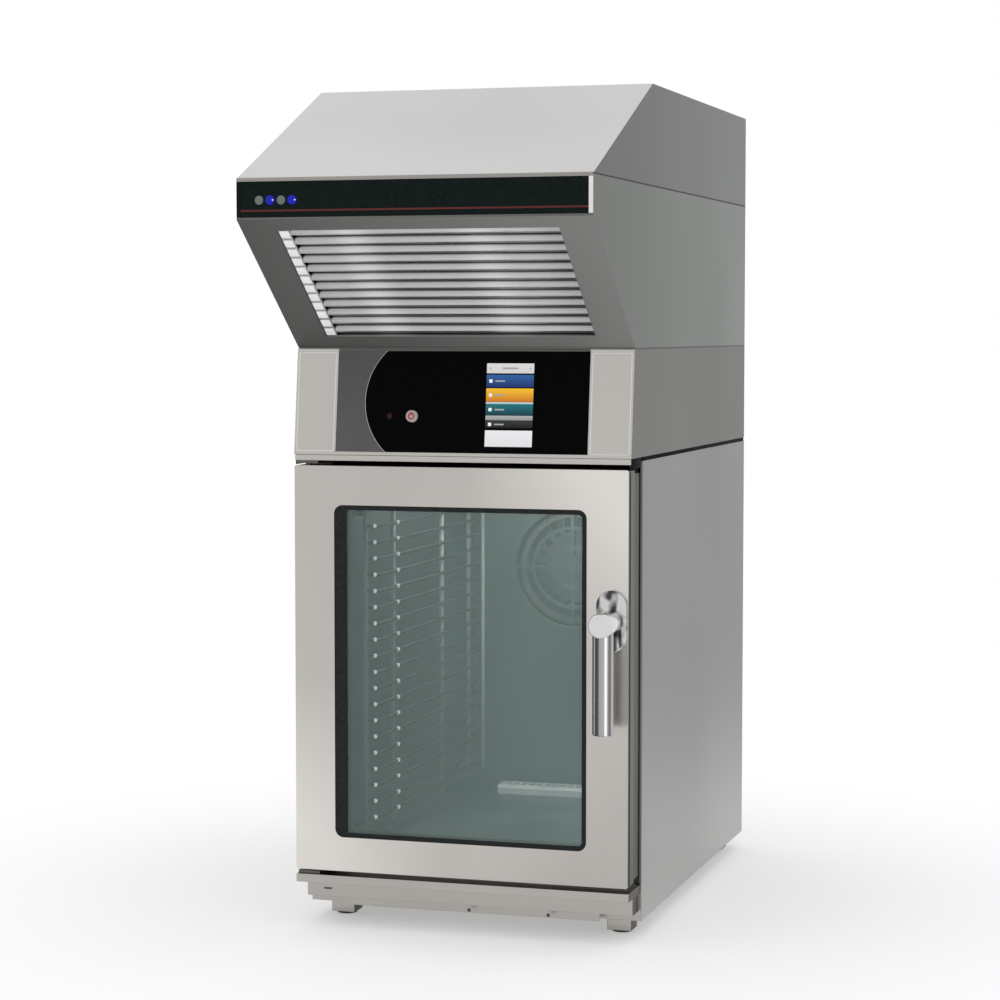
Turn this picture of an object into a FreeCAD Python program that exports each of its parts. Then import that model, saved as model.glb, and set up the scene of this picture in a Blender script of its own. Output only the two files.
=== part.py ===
import FreeCAD, Part
import Sketcher
import math
import os

# Slim combi oven with a ventless hood on top.
# Millimetres, +Z up, the front of the oven faces -Y.
# The origin lies on the floor, in the middle of the whole outline.

SIZES = {
    # outline
    "width": 515.0,
    "body_depth": 800.0,
    "hood_reach": 210.0,
    "fitting_reach": 25.0,
    "sheet": 1.5,
    # feet and base
    "foot_height": 26.0,
    "foot_radius": 18.5,
    "foot_inset": 40.0,
    "foot_setback": 45.0,
    "stud_radius": 5.0,
    "pan_rim": 40.0,
    "plinth_setback": 40.0,
    "plinth_inset": 5.0,
    "rail_inset": 58.0,
    "rail_height": 10.0,
    "tray_height": 12.0,
    "tray_lip": 2.0,
    "tray_gap": 8.0,
    "panel_fold": 14.0,
    "stud_clear": 0.3,
    "hole_clear": 0.5,
    # door
    "door_bottom": 88.0,
    "door_height": 604.0,
    "door_inset": 2.5,
    "door_thickness": 60.0,
    "door_gap": 12.0,
    "door_skin_depth": 36.0,
    "door_groove": 2.0,
    "door_liner_inset": 3.5,
    "door_edge_radius": 3.0,
    "window_margin_side": 62.0,
    "window_margin_low": 51.0,
    "window_margin_high": 58.0,
    "window_radius": 13.0,
    "glass": 5.0,
    "glass_overlap": 14.0,
    # hinge and latch
    "pivot_inset": 16.0,
    "pivot_depth": 18.0,
    "pin_radius": 5.0,
    "pin_length": 22.0,
    "fit": 0.05,
    "bush_wall": 3.0,
    "bracket_plate": 5.0,
    "bracket_gap": 3.0,
    "bracket_leg": 50.0,
    "bracket_width": 34.0,
    "lever_inset": 24.0,
    "lever_height": 387.0,
    "hub_radius": 18.0,
    "hub_reach": 70.0,
    "grip_radius": 15.0,
    "grip_standoff": 52.0,
    "grip_drop": 157.0,
    "hub_clear": 0.5,
    "hub_socket": 14.0,
    "rosette_width": 44.0,
    "rosette_height": 89.0,
    "rosette_thickness": 8.5,
    "spindle_radius": 6.0,
    "sleeve_wall": 6.0,
    "tongue": 4.0,
    "tongue_width": 14.0,
    "tongue_reach": 24.0,
    "keeper_lip": 2.4,
    # oven cavity
    "wall_depth": 62.5,
    "cavity_above_door_bottom": 22.0,
    "cavity_below_door_top": 36.0,
    "motor_bay": 100.0,
    "cavity_radius": 14.0,
    "insulation": 28.0,
    "gasket_width": 14.0,
    "gasket_clear": 0.3,
    "deck_rise": 10.0,
    # racks
    "post_wall_gap": 15.0,
    "post_radius": 4.0,
    "rail_standoff": 19.0,
    "wire_radius": 2.5,
    "rail_levels": 19,
    "first_rail": 42.0,
    "last_rail": 60.0,
    "post_foot": 22.0,
    "post_head": 30.0,
    "rack_front": 28.0,
    "second_post": 90.0,
    "third_post": 330.0,
    "rack_length": 515.0,
    # fan bay
    "baffle_from_back": 72.0,
    "baffle_side_gap": 34.0,
    "baffle_low_gap": 35.0,
    "baffle_high_gap": 16.0,
    "intake_radius": 102.0,
    "fan_drop": 165.0,
    "wheel_radius": 95.0,
    "wheel_depth": 42.0,
    "wheel_clear": 14.0,
    "blade_count": 20,
    "blade_length": 34.0,
    "shaft_radius": 7.0,
    "heater_radius": 112.0,
    "heater_tube": 4.0,
    "heater_leg_share": 0.86,
    "motor_radius": 55.0,
    "motor_length": 58.0,
    "motor_flange": 4.0,
    "shaft_grip": 16.0,
    "lamp_setback": 150.0,
    "lamp_radius": 25.5,
    "lamp_flange": 34.0,
    "sensor_setback": 20.0,
    "sensor_rise": 40.0,
    "sensor_radius": 3.0,
    "sensor_nut": 8.0,
    # water, drain and vent
    "drain_radius": 19.0,
    "drain_wall": 2.0,
    "drain_bend_extra": 3.0,
    "drain_below_wool": 1.0,
    "drain_before_baffle": 30.0,
    "strainer_length": 232.0,
    "strainer_width": 44.0,
    "strainer_height": 15.0,
    "inlet_radius": 13.2,
    "collar": 4.0,
    "inlet_spacing": 60.0,
    "valve_height": 90.0,
    "valve_inset": 60.0,
    "injector_tube": 4.0,
    "injector_rise": 22.0,
    "vent_radius": 25.0,
    "vent_wall": 2.0,
    "vent_x": 120.0,
    "vent_from_back": 220.0,
    "gland_radius": 20.0,
    "gland_step": 5.0,
    "gland_inset": 80.0,
    "cable_radius": 9.0,
    # control housing
    "shadow_gap": 6.0,
    "housing_height": 156.0,
    "fascia_setback": 5.0,
    "fascia_lean": 18.0,
    "fascia_lip": 5.0,
    "fascia_top_lip": 2.0,
    "panel_margin": 65.0,
    "panel": 4.0,
    "seam": 0.3,
    "arc_chord_x": 115.0,
    "arc_bulge": 33.0,
    "display_left": 37.0,
    "display_width": 72.0,
    "display_low": 10.0,
    "display_height": 131.0,
    "power_x": 76.0,
    "power_height": 53.0,
    "power_radius": 9.5,
    "lens_x": 110.0,
    "lens_radius": 4.5,
    "lens_clear": 0.1,
    "button_clear": 0.4,
    "button_proud": 1.2,
    "contactor_setback": 380.0,
    # hood
    "hood_seam": 2.0,
    "hood_front": 25.0,
    "slope_rise": 179.0,
    "nose_height": 57.0,
    "cap_rise": 148.0,
    "ridge_setback": 126.0,
    "filter_margin_side": 52.5,
    "filter_margin_low": 27.0,
    "filter_margin_high": 24.0,
    "filter_depth": 22.0,
    "filter_rim": 6.0,
    "slot_strip": 17.5,
    "louvre_count": 12,
    "louvre_radius": 8.4,
    "louvre_wall": 1.2,
    "nose_side_strip": 5.0,
    "nose_low_lip": 3.0,
    "nose_high_lip": 2.0,
    "nose_plate": 4.0,
    "nose_thickness": 14.0,
    "hood_button_radius": 6.5,
    "hood_button_edge": 33.5,
    "hood_button_pitch": 16.4,
    "blower_radius": 90.0,
    "blower_depth": 60.0,
    "blower_blades": 9,
    "blower_mouth_inset": 22.0,
    "blower_setback": 440.0,
    "blower_gap": 4.0,
}

# How far a cut runs past the material, and how far joined shapes overlap
OVER = 1.0
# Share of a width for the radius of a full-round end
NEARLY_HALF = 0.49


class Measure:
    """A length with its present value and the formula that ties it to the sheet."""

    def __init__(self, value, formula):
        self.value = float(value)
        self.formula = formula

    def __add__(self, other):
        other = measure(other)
        return Measure(self.value + other.value, f"({self.formula} + {other.formula})")

    def __sub__(self, other):
        other = measure(other)
        return Measure(self.value - other.value, f"({self.formula} - {other.formula})")

    def __mul__(self, other):
        other = measure(other)
        return Measure(self.value * other.value, f"({self.formula} * {other.formula})")

    def __truediv__(self, other):
        other = measure(other)
        return Measure(self.value / other.value, f"({self.formula} / {other.formula})")

    def __neg__(self):
        return Measure(-self.value, f"(-{self.formula})")

    def __radd__(self, other):
        return measure(other) + self

    def __rsub__(self, other):
        return measure(other) - self

    def __rmul__(self, other):
        return measure(other) * self


def measure(number):
    """Give a plain number the form of a Measure."""
    if isinstance(number, Measure):
        return number
    return Measure(number, f"({float(number)})")


def root(length):
    """Square root of a squared length."""
    return Measure(math.sqrt(length.value), f"sqrt({length.formula})")


def diagonal(rise, run):
    """Length of the sloping side over a rise and a run."""
    return root(rise * rise + run * run)


def angle_of(rise, run):
    """Angle in degrees whose tangent is rise over run."""
    degrees = math.degrees(math.atan2(rise.value, run.value))
    return Measure(degrees, f"(atan({rise.formula} / {run.formula}) / 1 deg)")


def low_to_high(*lengths):
    """Lengths in rising order."""
    return sorted(lengths, key=lambda length: length.value)


class Sizes:
    """The driving sizes by name."""


doc = FreeCAD.newDocument("SlimCombiOven")
sheet = doc.addObject("Spreadsheet::Sheet", "Sizes")
places = doc.addObject("App::VarSet", "Places")
S = Sizes()
for row, (alias, number) in enumerate(SIZES.items(), start=1):
    sheet.set(f"A{row}", alias)
    sheet.set(f"B{row}", str(number))
    sheet.setAlias(f"B{row}", alias)
    setattr(S, alias, Measure(number, f"Sizes.{alias}"))
doc.recompute()


def place(name, length):
    """Keep a derived length under a name of its own."""
    places.addProperty("App::PropertyFloat", name)
    places.setExpression(name, length.formula)
    return Measure(length.value, f"Places.{name}")


# Derived places, from the outside in
half = place("half", S.width / 2)
front_y = place("front_y", -(S.button_proud + S.hood_reach + S.body_depth + S.fitting_reach) / 2)
nose_y = place("nose_y", front_y + S.button_proud)
door_y = place("door_y", nose_y + S.hood_reach)
door_back_y = place("door_back_y", door_y + S.door_thickness)
frame_y = place("frame_y", door_back_y + S.door_gap)
back_y = place("back_y", door_y + S.body_depth)
rear_y = place("rear_y", back_y + S.fitting_reach)
door_half = place("door_half", half - S.door_inset)
door_z0 = place("door_z0", S.door_bottom)
door_z1 = place("door_z1", door_z0 + S.door_height)
deck_z = place("deck_z", door_z1 + S.deck_rise)
housing_z0 = place("housing_z0", deck_z + S.shadow_gap)
housing_z1 = place("housing_z1", housing_z0 + S.housing_height)
hood_z0 = place("hood_z0", housing_z1 + S.hood_seam)
nose_z0 = place("nose_z0", hood_z0 + S.slope_rise)
nose_z1 = place("nose_z1", nose_z0 + S.nose_height)
top_z = place("top_z", nose_z1 + S.cap_rise)
cavity_half = place("cavity_half", half - S.wall_depth)
cavity_z0 = place("cavity_z0", door_z0 + S.cavity_above_door_bottom)
cavity_z1 = place("cavity_z1", door_z1 - S.cavity_below_door_top)
cavity_y1 = place("cavity_y1", back_y - S.motor_bay)
baffle_y = place("baffle_y", cavity_y1 - S.baffle_from_back)
window_half = place("window_half", door_half - S.window_margin_side)
window_z0 = place("window_z0", door_z0 + S.window_margin_low)
window_z1 = place("window_z1", door_z1 - S.window_margin_high)
pane_half = place("pane_half", window_half + S.glass_overlap)
pane_z0 = place("pane_z0", window_z0 - S.glass_overlap)
pane_z1 = place("pane_z1", window_z1 + S.glass_overlap)
pivot_x = place("pivot_x", -door_half + S.pivot_inset)
pivot_y = place("pivot_y", door_y + S.pivot_depth)
lever_x = place("lever_x", door_half - S.lever_inset)
lever_z = place("lever_z", door_z0 + S.lever_height)
fan_z = place("fan_z", cavity_z1 - S.fan_drop)
wheel_y0 = place("wheel_y0", baffle_y + S.sheet + S.wheel_clear)
heater_leg = place("heater_leg", S.heater_tube * S.heater_leg_share)
post_x = place("post_x", cavity_half - S.post_wall_gap)
rail_x = place("rail_x", post_x - S.rail_standoff)
rack_y0 = place("rack_y0", frame_y + S.rack_front)
rail_pitch = place("rail_pitch", (cavity_z1 - cavity_z0 - S.first_rail - S.last_rail) / (S.rail_levels - 1))
drain_y = place("drain_y", baffle_y - S.drain_before_baffle)
drain_bend = place("drain_bend", S.drain_radius + S.drain_bend_extra)
drain_z = place("drain_z", cavity_z0 - S.sheet - S.insulation - drain_bend - S.drain_below_wool)
vent_y = place("vent_y", back_y - S.vent_from_back)
outer_back_y = place("outer_back_y", cavity_y1 + S.sheet + S.insulation)

# Frames of the two leaning panels
fascia_lean = place("fascia_lean_angle", angle_of(S.fascia_lean, S.housing_height))
fascia_height = place("fascia_height", diagonal(S.fascia_lean, S.housing_height))
fascia_y = place("fascia_y", door_y + S.fascia_setback)
slope_run = place("slope_run", S.hood_front + S.hood_reach)
slope_length = place("slope_length", diagonal(slope_run, S.slope_rise))
slope_angle = place("slope_angle", angle_of(slope_run, S.slope_rise))
hood_y = place("hood_y", door_y + S.hood_front)
blower_mouth = place("blower_mouth", S.blower_radius - S.blower_mouth_inset)
blower_y = place("blower_y", door_y + S.blower_setback)
blower_z = place("blower_z", (hood_z0 + S.sheet + nose_z1) / 2)


# Drawing helpers
def bind(thing, prop, length):
    """Tie one property to a measure."""
    thing.setExpression(prop, measure(length).formula)


def shift(thing, x, y, z):
    """Tie a thing's position to measures."""
    bind(thing, "Placement.Base.x", x)
    bind(thing, "Placement.Base.y", y)
    bind(thing, "Placement.Base.z", z)


def lean(thing, degrees, y, z):
    """Turn a thing about X and put it at y and z."""
    bind(thing, "Placement.Rotation.Angle", degrees)
    bind(thing, "Placement.Rotation.Axis.x", 1)
    bind(thing, "Placement.Rotation.Axis.y", 0)
    bind(thing, "Placement.Rotation.Axis.z", 0)
    shift(thing, 0, y, z)


def on_fascia(thing):
    """Stand a thing on the leaning control front, with its face at local Y = 0."""
    lean(thing, -fascia_lean, fascia_y, housing_z0)


def on_slope(thing):
    """Lay a thing on the hood's sloped underside, with the outer face at local Y = 0."""
    lean(thing, slope_angle, hood_y, hood_z0)


def box(name, x, y, z):
    """Box between two ends on each axis."""
    solid = doc.addObject("Part::Box", name)
    bind(solid, "Length", measure(x[1]) - x[0])
    bind(solid, "Width", measure(y[1]) - y[0])
    bind(solid, "Height", measure(z[1]) - z[0])
    shift(solid, x[0], y[0], z[0])
    return solid


def rod(name, axis, centre, ends, radius):
    """Cylinder along X, Y or Z between two ends, with its centre given on the other two axes."""
    solid = doc.addObject("Part::Cylinder", name)
    turns = {"X": ((0, 1, 0), 90), "Y": ((1, 0, 0), -90), "Z": ((0, 0, 1), 0)}
    direction, degrees = turns[axis]
    rotation = FreeCAD.Rotation(FreeCAD.Vector(*direction), degrees)
    solid.Placement = FreeCAD.Placement(FreeCAD.Vector(), rotation)
    bind(solid, "Radius", radius)
    bind(solid, "Height", measure(ends[1]) - ends[0])
    spots = {
        "X": (ends[0], centre[0], centre[1]),
        "Y": (centre[0], ends[0], centre[1]),
        "Z": (centre[0], centre[1], ends[0]),
    }
    shift(solid, *spots[axis])
    return solid


def group(name, solids):
    """Several solids under one name."""
    bundle = doc.addObject("Part::Compound", name)
    bundle.Links = solids
    return bundle


def cut(name, base, tools):
    """Base with the tools taken away."""
    result = doc.addObject("Part::Cut", name)
    result.Base = base
    result.Tool = tools[0] if len(tools) == 1 else fuse(name + "_tools", tools)
    return result


def fuse(name, solids):
    """Solids joined into one."""
    result = doc.addObject("Part::MultiFuse", name)
    result.Shapes = solids
    return result


def new_body(name):
    """An empty body for sketched features."""
    return doc.addObject("PartDesign::Body", name)


def origin_feature(body, role):
    """One of the body's own planes or axes."""
    return [item for item in body.Origin.OriginFeatures if item.Role == role][0]


def polygon(*corners):
    """Closed outline with straight sides."""
    return ([(measure(u), measure(v)) for u, v in corners], {})


def rectangle(u, v):
    """Rectangle between two ends on each axis."""
    return polygon((u[0], v[0]), (u[1], v[0]), (u[1], v[1]), (u[0], v[1]))


def rounded(u, v, radius):
    """Rectangle with rounded corners."""
    u0, u1, v0, v1 = (measure(end) for end in (*u, *v))
    radius = measure(radius)
    corners = [
        (u0 + radius, v0), (u1 - radius, v0), (u1, v0 + radius), (u1, v1 - radius),
        (u1 - radius, v1), (u0 + radius, v1), (u0, v1 - radius), (u0, v0 + radius),
    ]
    return (corners, {1: (radius, 1), 3: (radius, 1), 5: (radius, 1), 7: (radius, 1)})


def circle(u, v, radius):
    """Circle about a centre."""
    return ("circle", measure(u), measure(v), measure(radius))


def arc_between(start, end, radius, turn):
    """Short arc from start to end, turning left (1) or right (-1)."""
    chord = end - start
    middle = (start + end) * 0.5
    height = math.sqrt(max(radius ** 2 - (chord.Length / 2) ** 2, 0.0))
    side = FreeCAD.Vector(-chord.y, chord.x, 0).normalize()
    centre = middle + side * (height * turn)
    first, last = (start, end) if turn > 0 else (end, start)
    begin = math.atan2(first.y - centre.y, first.x - centre.x)
    finish = math.atan2(last.y - centre.y, last.x - centre.x)
    ring = Part.Circle(centre, FreeCAD.Vector(0, 0, 1), radius)
    return Part.ArcOfCircle(ring, begin, finish)


def tie_point(sketch, geometry, point, u, v):
    """Tie one point of a sketch to two measures."""
    for kind, length in (("DistanceX", u), ("DistanceY", v)):
        index = sketch.addConstraint(Sketcher.Constraint(kind, -1, 1, geometry, point, length.value))
        sketch.setExpression(f"Constraints[{index}]", length.formula)


def tie_radius(sketch, geometry, radius):
    """Tie the radius of an arc or circle to a measure."""
    index = sketch.addConstraint(Sketcher.Constraint("Radius", geometry, radius.value))
    sketch.setExpression(f"Constraints[{index}]", radius.formula)


def draw_outline(sketch, corners, arcs, closed=True):
    """Draw lines and arcs through the corners and tie each corner."""
    count = len(corners)
    spots = [FreeCAD.Vector(u.value, v.value, 0) for u, v in corners]
    ends = []
    for i in range(count if closed else count - 1):
        start, end = spots[i], spots[(i + 1) % count]
        if i in arcs:
            radius, turn = arcs[i]
            line = sketch.addGeometry(arc_between(start, end, radius.value, turn), False)
            ends.append((line, 1, 2) if turn > 0 else (line, 2, 1))
        else:
            line = sketch.addGeometry(Part.LineSegment(start, end), False)
            ends.append((line, 1, 2))
    for i in range(len(ends) if closed else len(ends) - 1):
        here, after = ends[i], ends[(i + 1) % len(ends)]
        sketch.addConstraint(Sketcher.Constraint("Coincident", here[0], here[2], after[0], after[1]))
    for i, (line, start, end) in enumerate(ends):
        tie_point(sketch, line, start, *corners[i])
        if i in arcs:
            tie_radius(sketch, line, arcs[i][0])
    if not closed:
        tie_point(sketch, ends[-1][0], ends[-1][2], *corners[-1])


def draw_circle(sketch, u, v, radius):
    """Draw a circle and tie its centre and radius."""
    ring = Part.Circle(FreeCAD.Vector(u.value, v.value, 0), FreeCAD.Vector(0, 0, 1), radius.value)
    geometry = sketch.addGeometry(ring, False)
    tie_point(sketch, geometry, 3, u, v)
    tie_radius(sketch, geometry, radius)


def new_sketch(body, plane, offset, outlines, closed=True):
    """Sketch on one of the body's planes, moved along that plane's axis."""
    sketch = body.newObject("Sketcher::SketchObject", body.Name + "_sketch")
    sketch.AttachmentSupport = [(origin_feature(body, plane + "_Plane"), "")]
    sketch.MapMode = "FlatFace"
    along = -measure(offset) if plane == "XZ" else measure(offset)
    bind(sketch, "AttachmentOffset.Base.z", along)
    for outline in outlines:
        if outline[0] == "circle":
            draw_circle(sketch, *outline[1:])
        else:
            draw_outline(sketch, *outline, closed)
    return sketch


def pad(body, plane, ends, outlines):
    """Add material between two ends along the plane's axis."""
    feature = body.newObject("PartDesign::Pad", body.Name + "_pad")
    feature.Profile = new_sketch(body, plane, ends[0], outlines)
    bind(feature, "Length", measure(ends[1]) - ends[0])
    feature.Reversed = plane == "XZ"
    body.Tip = feature
    return feature


def pocket(body, plane, ends, outlines):
    """Take material away between two ends along the plane's axis."""
    doc.recompute()
    before = body.Shape.Volume
    feature = body.newObject("PartDesign::Pocket", body.Name + "_pocket")
    feature.Profile = new_sketch(body, plane, ends[0], outlines)
    bind(feature, "Length", measure(ends[1]) - ends[0])
    feature.Reversed = plane != "XZ"
    body.Tip = feature
    doc.recompute()
    if body.Shape.Volume >= before:
        raise RuntimeError(f"{body.Name}: a pocket removes nothing")
    return feature


def revolve(body, plane, axis, outline):
    """Turn an outline about one of the body's axes."""
    feature = body.newObject("PartDesign::Revolution", body.Name + "_turned")
    feature.Profile = new_sketch(body, plane, 0, [outline])
    feature.ReferenceAxis = (origin_feature(body, axis + "_Axis"), [""])
    feature.Angle = 360
    body.Tip = feature
    return feature


def repeat_along(body, originals, axis, length, count):
    """Copies spread evenly over a length."""
    feature = body.newObject("PartDesign::LinearPattern", body.Name + "_row")
    feature.Originals = originals
    feature.Direction = (origin_feature(body, axis + "_Axis"), [""])
    bind(feature, "Length", length)
    bind(feature, "Occurrences", count)
    body.Tip = feature
    return feature


def repeat_around(body, originals, axis, count):
    """Copies spread evenly round an axis."""
    feature = body.newObject("PartDesign::PolarPattern", body.Name + "_ring")
    feature.Originals = originals
    feature.Axis = (origin_feature(body, axis + "_Axis"), [""])
    feature.Angle = 360
    bind(feature, "Occurrences", count)
    body.Tip = feature
    return feature


def hollow(body, amount, chosen):
    """Shell a body inward and leave out the faces that the test chooses."""
    doc.recompute()
    base = body.Tip
    faces = [f"Face{i}" for i, face in enumerate(base.Shape.Faces, start=1) if chosen(face)]
    feature = body.newObject("PartDesign::Thickness", body.Name + "_shell")
    feature.Base = (base, faces)
    bind(feature, "Value", amount)
    feature.Reversed = True
    feature.Join = "Intersection"
    body.Tip = feature
    return feature


parts = {}


def keep(name, solid):
    """Name a finished piece."""
    solid.Label = name
    parts[name] = solid
    return solid


# Feet and base
def foot_spots():
    """Centres of the four feet."""
    x = half - S.foot_inset
    front = frame_y + S.foot_setback
    rear = back_y - S.foot_setback
    return [(-x, front), (x, front), (-x, rear), (x, rear)]


def make_feet():
    """Four turned levelling feet with studs through the base pan."""
    feet = []
    step = 5
    bevel = 1.5
    shoulder = 10
    collar = 6
    thread = 12
    neck = S.foot_radius - step
    stud_top = S.foot_height + S.sheet + thread
    for x, y in foot_spots():
        body = new_body("foot")
        revolve(body, "XZ", "Z", polygon(
            (0, 0), (S.foot_radius - bevel, 0), (S.foot_radius, bevel),
            (S.foot_radius, S.foot_height - shoulder), (neck, S.foot_height - collar),
            (neck, S.foot_height), (S.stud_radius, S.foot_height), (S.stud_radius, stud_top), (0, stud_top)))
        shift(body, x, y, 0)
        feet.append(body)
    keep("leveling_feet", group("leveling_feet", feet))


def make_base_pan():
    """Folded pan that carries the cabinet, with holes for the foot studs and a way out for the drain."""
    body = new_body("base_pan")
    side = half - S.sheet
    front, back = frame_y + S.sheet, back_y - S.sheet
    low, high = S.foot_height, S.foot_height + S.pan_rim
    pad(body, "XY", (low, high), [rectangle((-side, side), (front, back))])
    pocket(body, "XY", (low + S.sheet, high + OVER),
           [rectangle((-side + S.sheet, side - S.sheet), (front + S.sheet, back - S.sheet))])
    holes = [circle(x, y, S.stud_radius + S.stud_clear) for x, y in foot_spots()]
    pocket(body, "XY", (low - OVER, low + S.sheet + OVER), holes)
    outlet = S.drain_radius + S.collar + S.hole_clear
    pocket(body, "XZ", (back - S.sheet - OVER, back + OVER),
           [rectangle((-outlet, outlet), (drain_z - outlet, high + OVER))])
    keep("base_pan", body)


def make_plinth():
    """Front plinth: a face sheet with two flanges, and a lower rail between the feet."""
    body = new_body("plinth_panel")
    side = half - S.plinth_inset
    face = door_y + S.plinth_setback
    lift = 4
    recess = 14
    low = S.foot_height + S.rail_height + lift
    high = door_z0 - S.tray_gap - S.tray_height
    pad(body, "YZ", (-side, side), [polygon(
        (face, low), (frame_y, low), (frame_y, low + S.sheet), (face + S.sheet, low + S.sheet),
        (face + S.sheet, high - S.sheet), (frame_y, high - S.sheet), (frame_y, high), (face, high))])
    rail = half - S.rail_inset
    rail_y = face + recess
    pad(body, "YZ", (-rail, rail), [rectangle((rail_y, rail_y + S.sheet), (S.foot_height, low + S.sheet))])
    keep("plinth_panel", body)


def make_drip_tray():
    """Gutter under the door that catches what runs off the glass."""
    body = new_body("drip_tray")
    side = half - S.sheet
    top = door_z0 - S.tray_gap
    low = top - S.tray_height
    front = door_y + S.tray_lip
    pad(body, "XY", (low, top), [rectangle((-side, side), (front, frame_y))])
    pocket(body, "XY", (low + S.sheet, top + OVER),
           [rectangle((-side + S.sheet, side - S.sheet), (front + S.sheet, frame_y - S.sheet))])
    keep("drip_tray", body)


# Cabinet
def make_side_panels():
    """Folded side sheets with a return at the front and the back."""
    for name, sign in (("left_side_panel", -1), ("right_side_panel", 1)):
        body = new_body(name)
        front, back = frame_y + S.sheet, back_y - S.sheet
        outer, inner = half * sign, (half - S.sheet) * sign
        edge = (half - S.panel_fold) * sign
        corners = [
            (outer, front), (outer, back), (edge, back), (edge, back - S.sheet),
            (inner, back - S.sheet), (inner, front + S.sheet), (edge, front + S.sheet), (edge, front)]
        low = S.foot_height + S.pan_rim
        pad(body, "XY", (low, deck_z - S.sheet), [polygon(*corners)])
        skirt = low_to_high(outer, inner)
        pad(body, "XY", (S.foot_height, low + OVER), [rectangle(skirt, (front, back))])
        keep(name, body)


def make_back_panel():
    """Back sheet with cooling slots and holes for the water, drain and cable fittings."""
    body = new_body("back_panel")
    through = (back_y - S.sheet - OVER, back_y + OVER)
    pad(body, "XZ", (back_y - S.sheet, back_y), [rectangle((-half, half), (S.foot_height, deck_z - S.sheet))])
    fittings = [circle(x, S.valve_height, S.inlet_radius + S.collar + S.hole_clear) for x in valve_spots()]
    fittings.append(circle(0, drain_z, S.drain_radius + S.collar + S.hole_clear))
    fittings.append(circle(gland_x(), S.valve_height, S.gland_radius - S.gland_step + S.hole_clear))
    pocket(body, "XZ", through, fittings)
    slot_half = 90
    slot_tall = 6
    slots = 8
    low = fan_z - S.motor_radius
    slot = pocket(body, "XZ", through, [rounded(
        (-slot_half, slot_half), (low, low + slot_tall), slot_tall * NEARLY_HALF)])
    repeat_along(body, [slot], "Z", S.motor_radius * 2, slots)
    keep("back_panel", body)


def make_top_deck():
    """Sheet that closes the cabinet top, with a hole for the vent."""
    body = new_body("top_deck")
    front = frame_y + S.sheet
    pad(body, "XY", (deck_z - S.sheet, deck_z), [
        rectangle((-half, half), (front, back_y)), circle(S.vent_x, vent_y, S.vent_radius + S.hole_clear)])
    keep("top_deck", body)


def mouth_outline(grow):
    """Rounded outline of the oven mouth, grown all round."""
    return rounded((-cavity_half - grow, cavity_half + grow), (cavity_z0 - grow, cavity_z1 + grow),
                   S.cavity_radius + grow)


def make_front_frame():
    """Face frame round the oven mouth, which the liner, the gasket and the hinges sit on."""
    body = new_body("front_frame")
    pad(body, "XZ", (frame_y, frame_y + S.sheet),
        [rectangle((-half, half), (S.foot_height, deck_z)), mouth_outline(0)])
    keep("front_frame", body)


def heater_legs():
    """Where the four legs of the two heater rings go through the oven's back wall."""
    inner = S.heater_tube * 2.4
    outer = S.heater_tube * 5.2
    spots = []
    for x in (-outer, -inner, inner, outer):
        spots.append((x, fan_z + root(S.heater_radius * S.heater_radius - x * x)))
    return spots


def lamp_y():
    """Place of the ceiling lamp, behind the oven mouth."""
    return frame_y + S.lamp_setback


def sensor_y():
    """Place of the temperature probe, behind the baffle's side gap."""
    return baffle_y + S.sensor_setback


def sensor_z():
    """Height of the temperature probe."""
    return fan_z + S.sensor_rise


def injector_z():
    """Height at which the water tube comes through the back wall."""
    return fan_z + S.heater_radius + S.injector_rise


def make_liner():
    """Welded oven liner with rounded corners, open at the front."""
    body = new_body("cavity_liner")
    wall = S.sheet
    pad(body, "XZ", (frame_y + S.sheet, cavity_y1 + wall), [mouth_outline(wall)])
    pocket(body, "XZ", (frame_y, cavity_y1), [mouth_outline(0)])
    back_holes = [circle(x, z, heater_leg + S.hole_clear) for x, z in heater_legs()]
    back_holes.append(circle(0, fan_z, S.shaft_radius + S.hole_clear * 2))
    back_holes.append(circle(0, injector_z(), S.injector_tube + S.hole_clear))
    pocket(body, "XZ", (cavity_y1 - OVER, cavity_y1 + wall + OVER), back_holes)
    pocket(body, "XY", (cavity_z0 - wall - OVER, cavity_z0 + OVER),
           [circle(0, drain_y, S.drain_radius - S.drain_wall)])
    pocket(body, "XY", (cavity_z1 - OVER, cavity_z1 + wall + OVER), [
        circle(S.vent_x, vent_y, S.vent_radius - S.vent_wall),
        circle(0, lamp_y(), S.lamp_radius + S.hole_clear)])
    pocket(body, "YZ", (cavity_half - OVER, cavity_half + wall + OVER),
           [circle(sensor_y(), sensor_z(), S.sensor_radius + S.hole_clear)])
    keep("cavity_liner", body)


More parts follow.
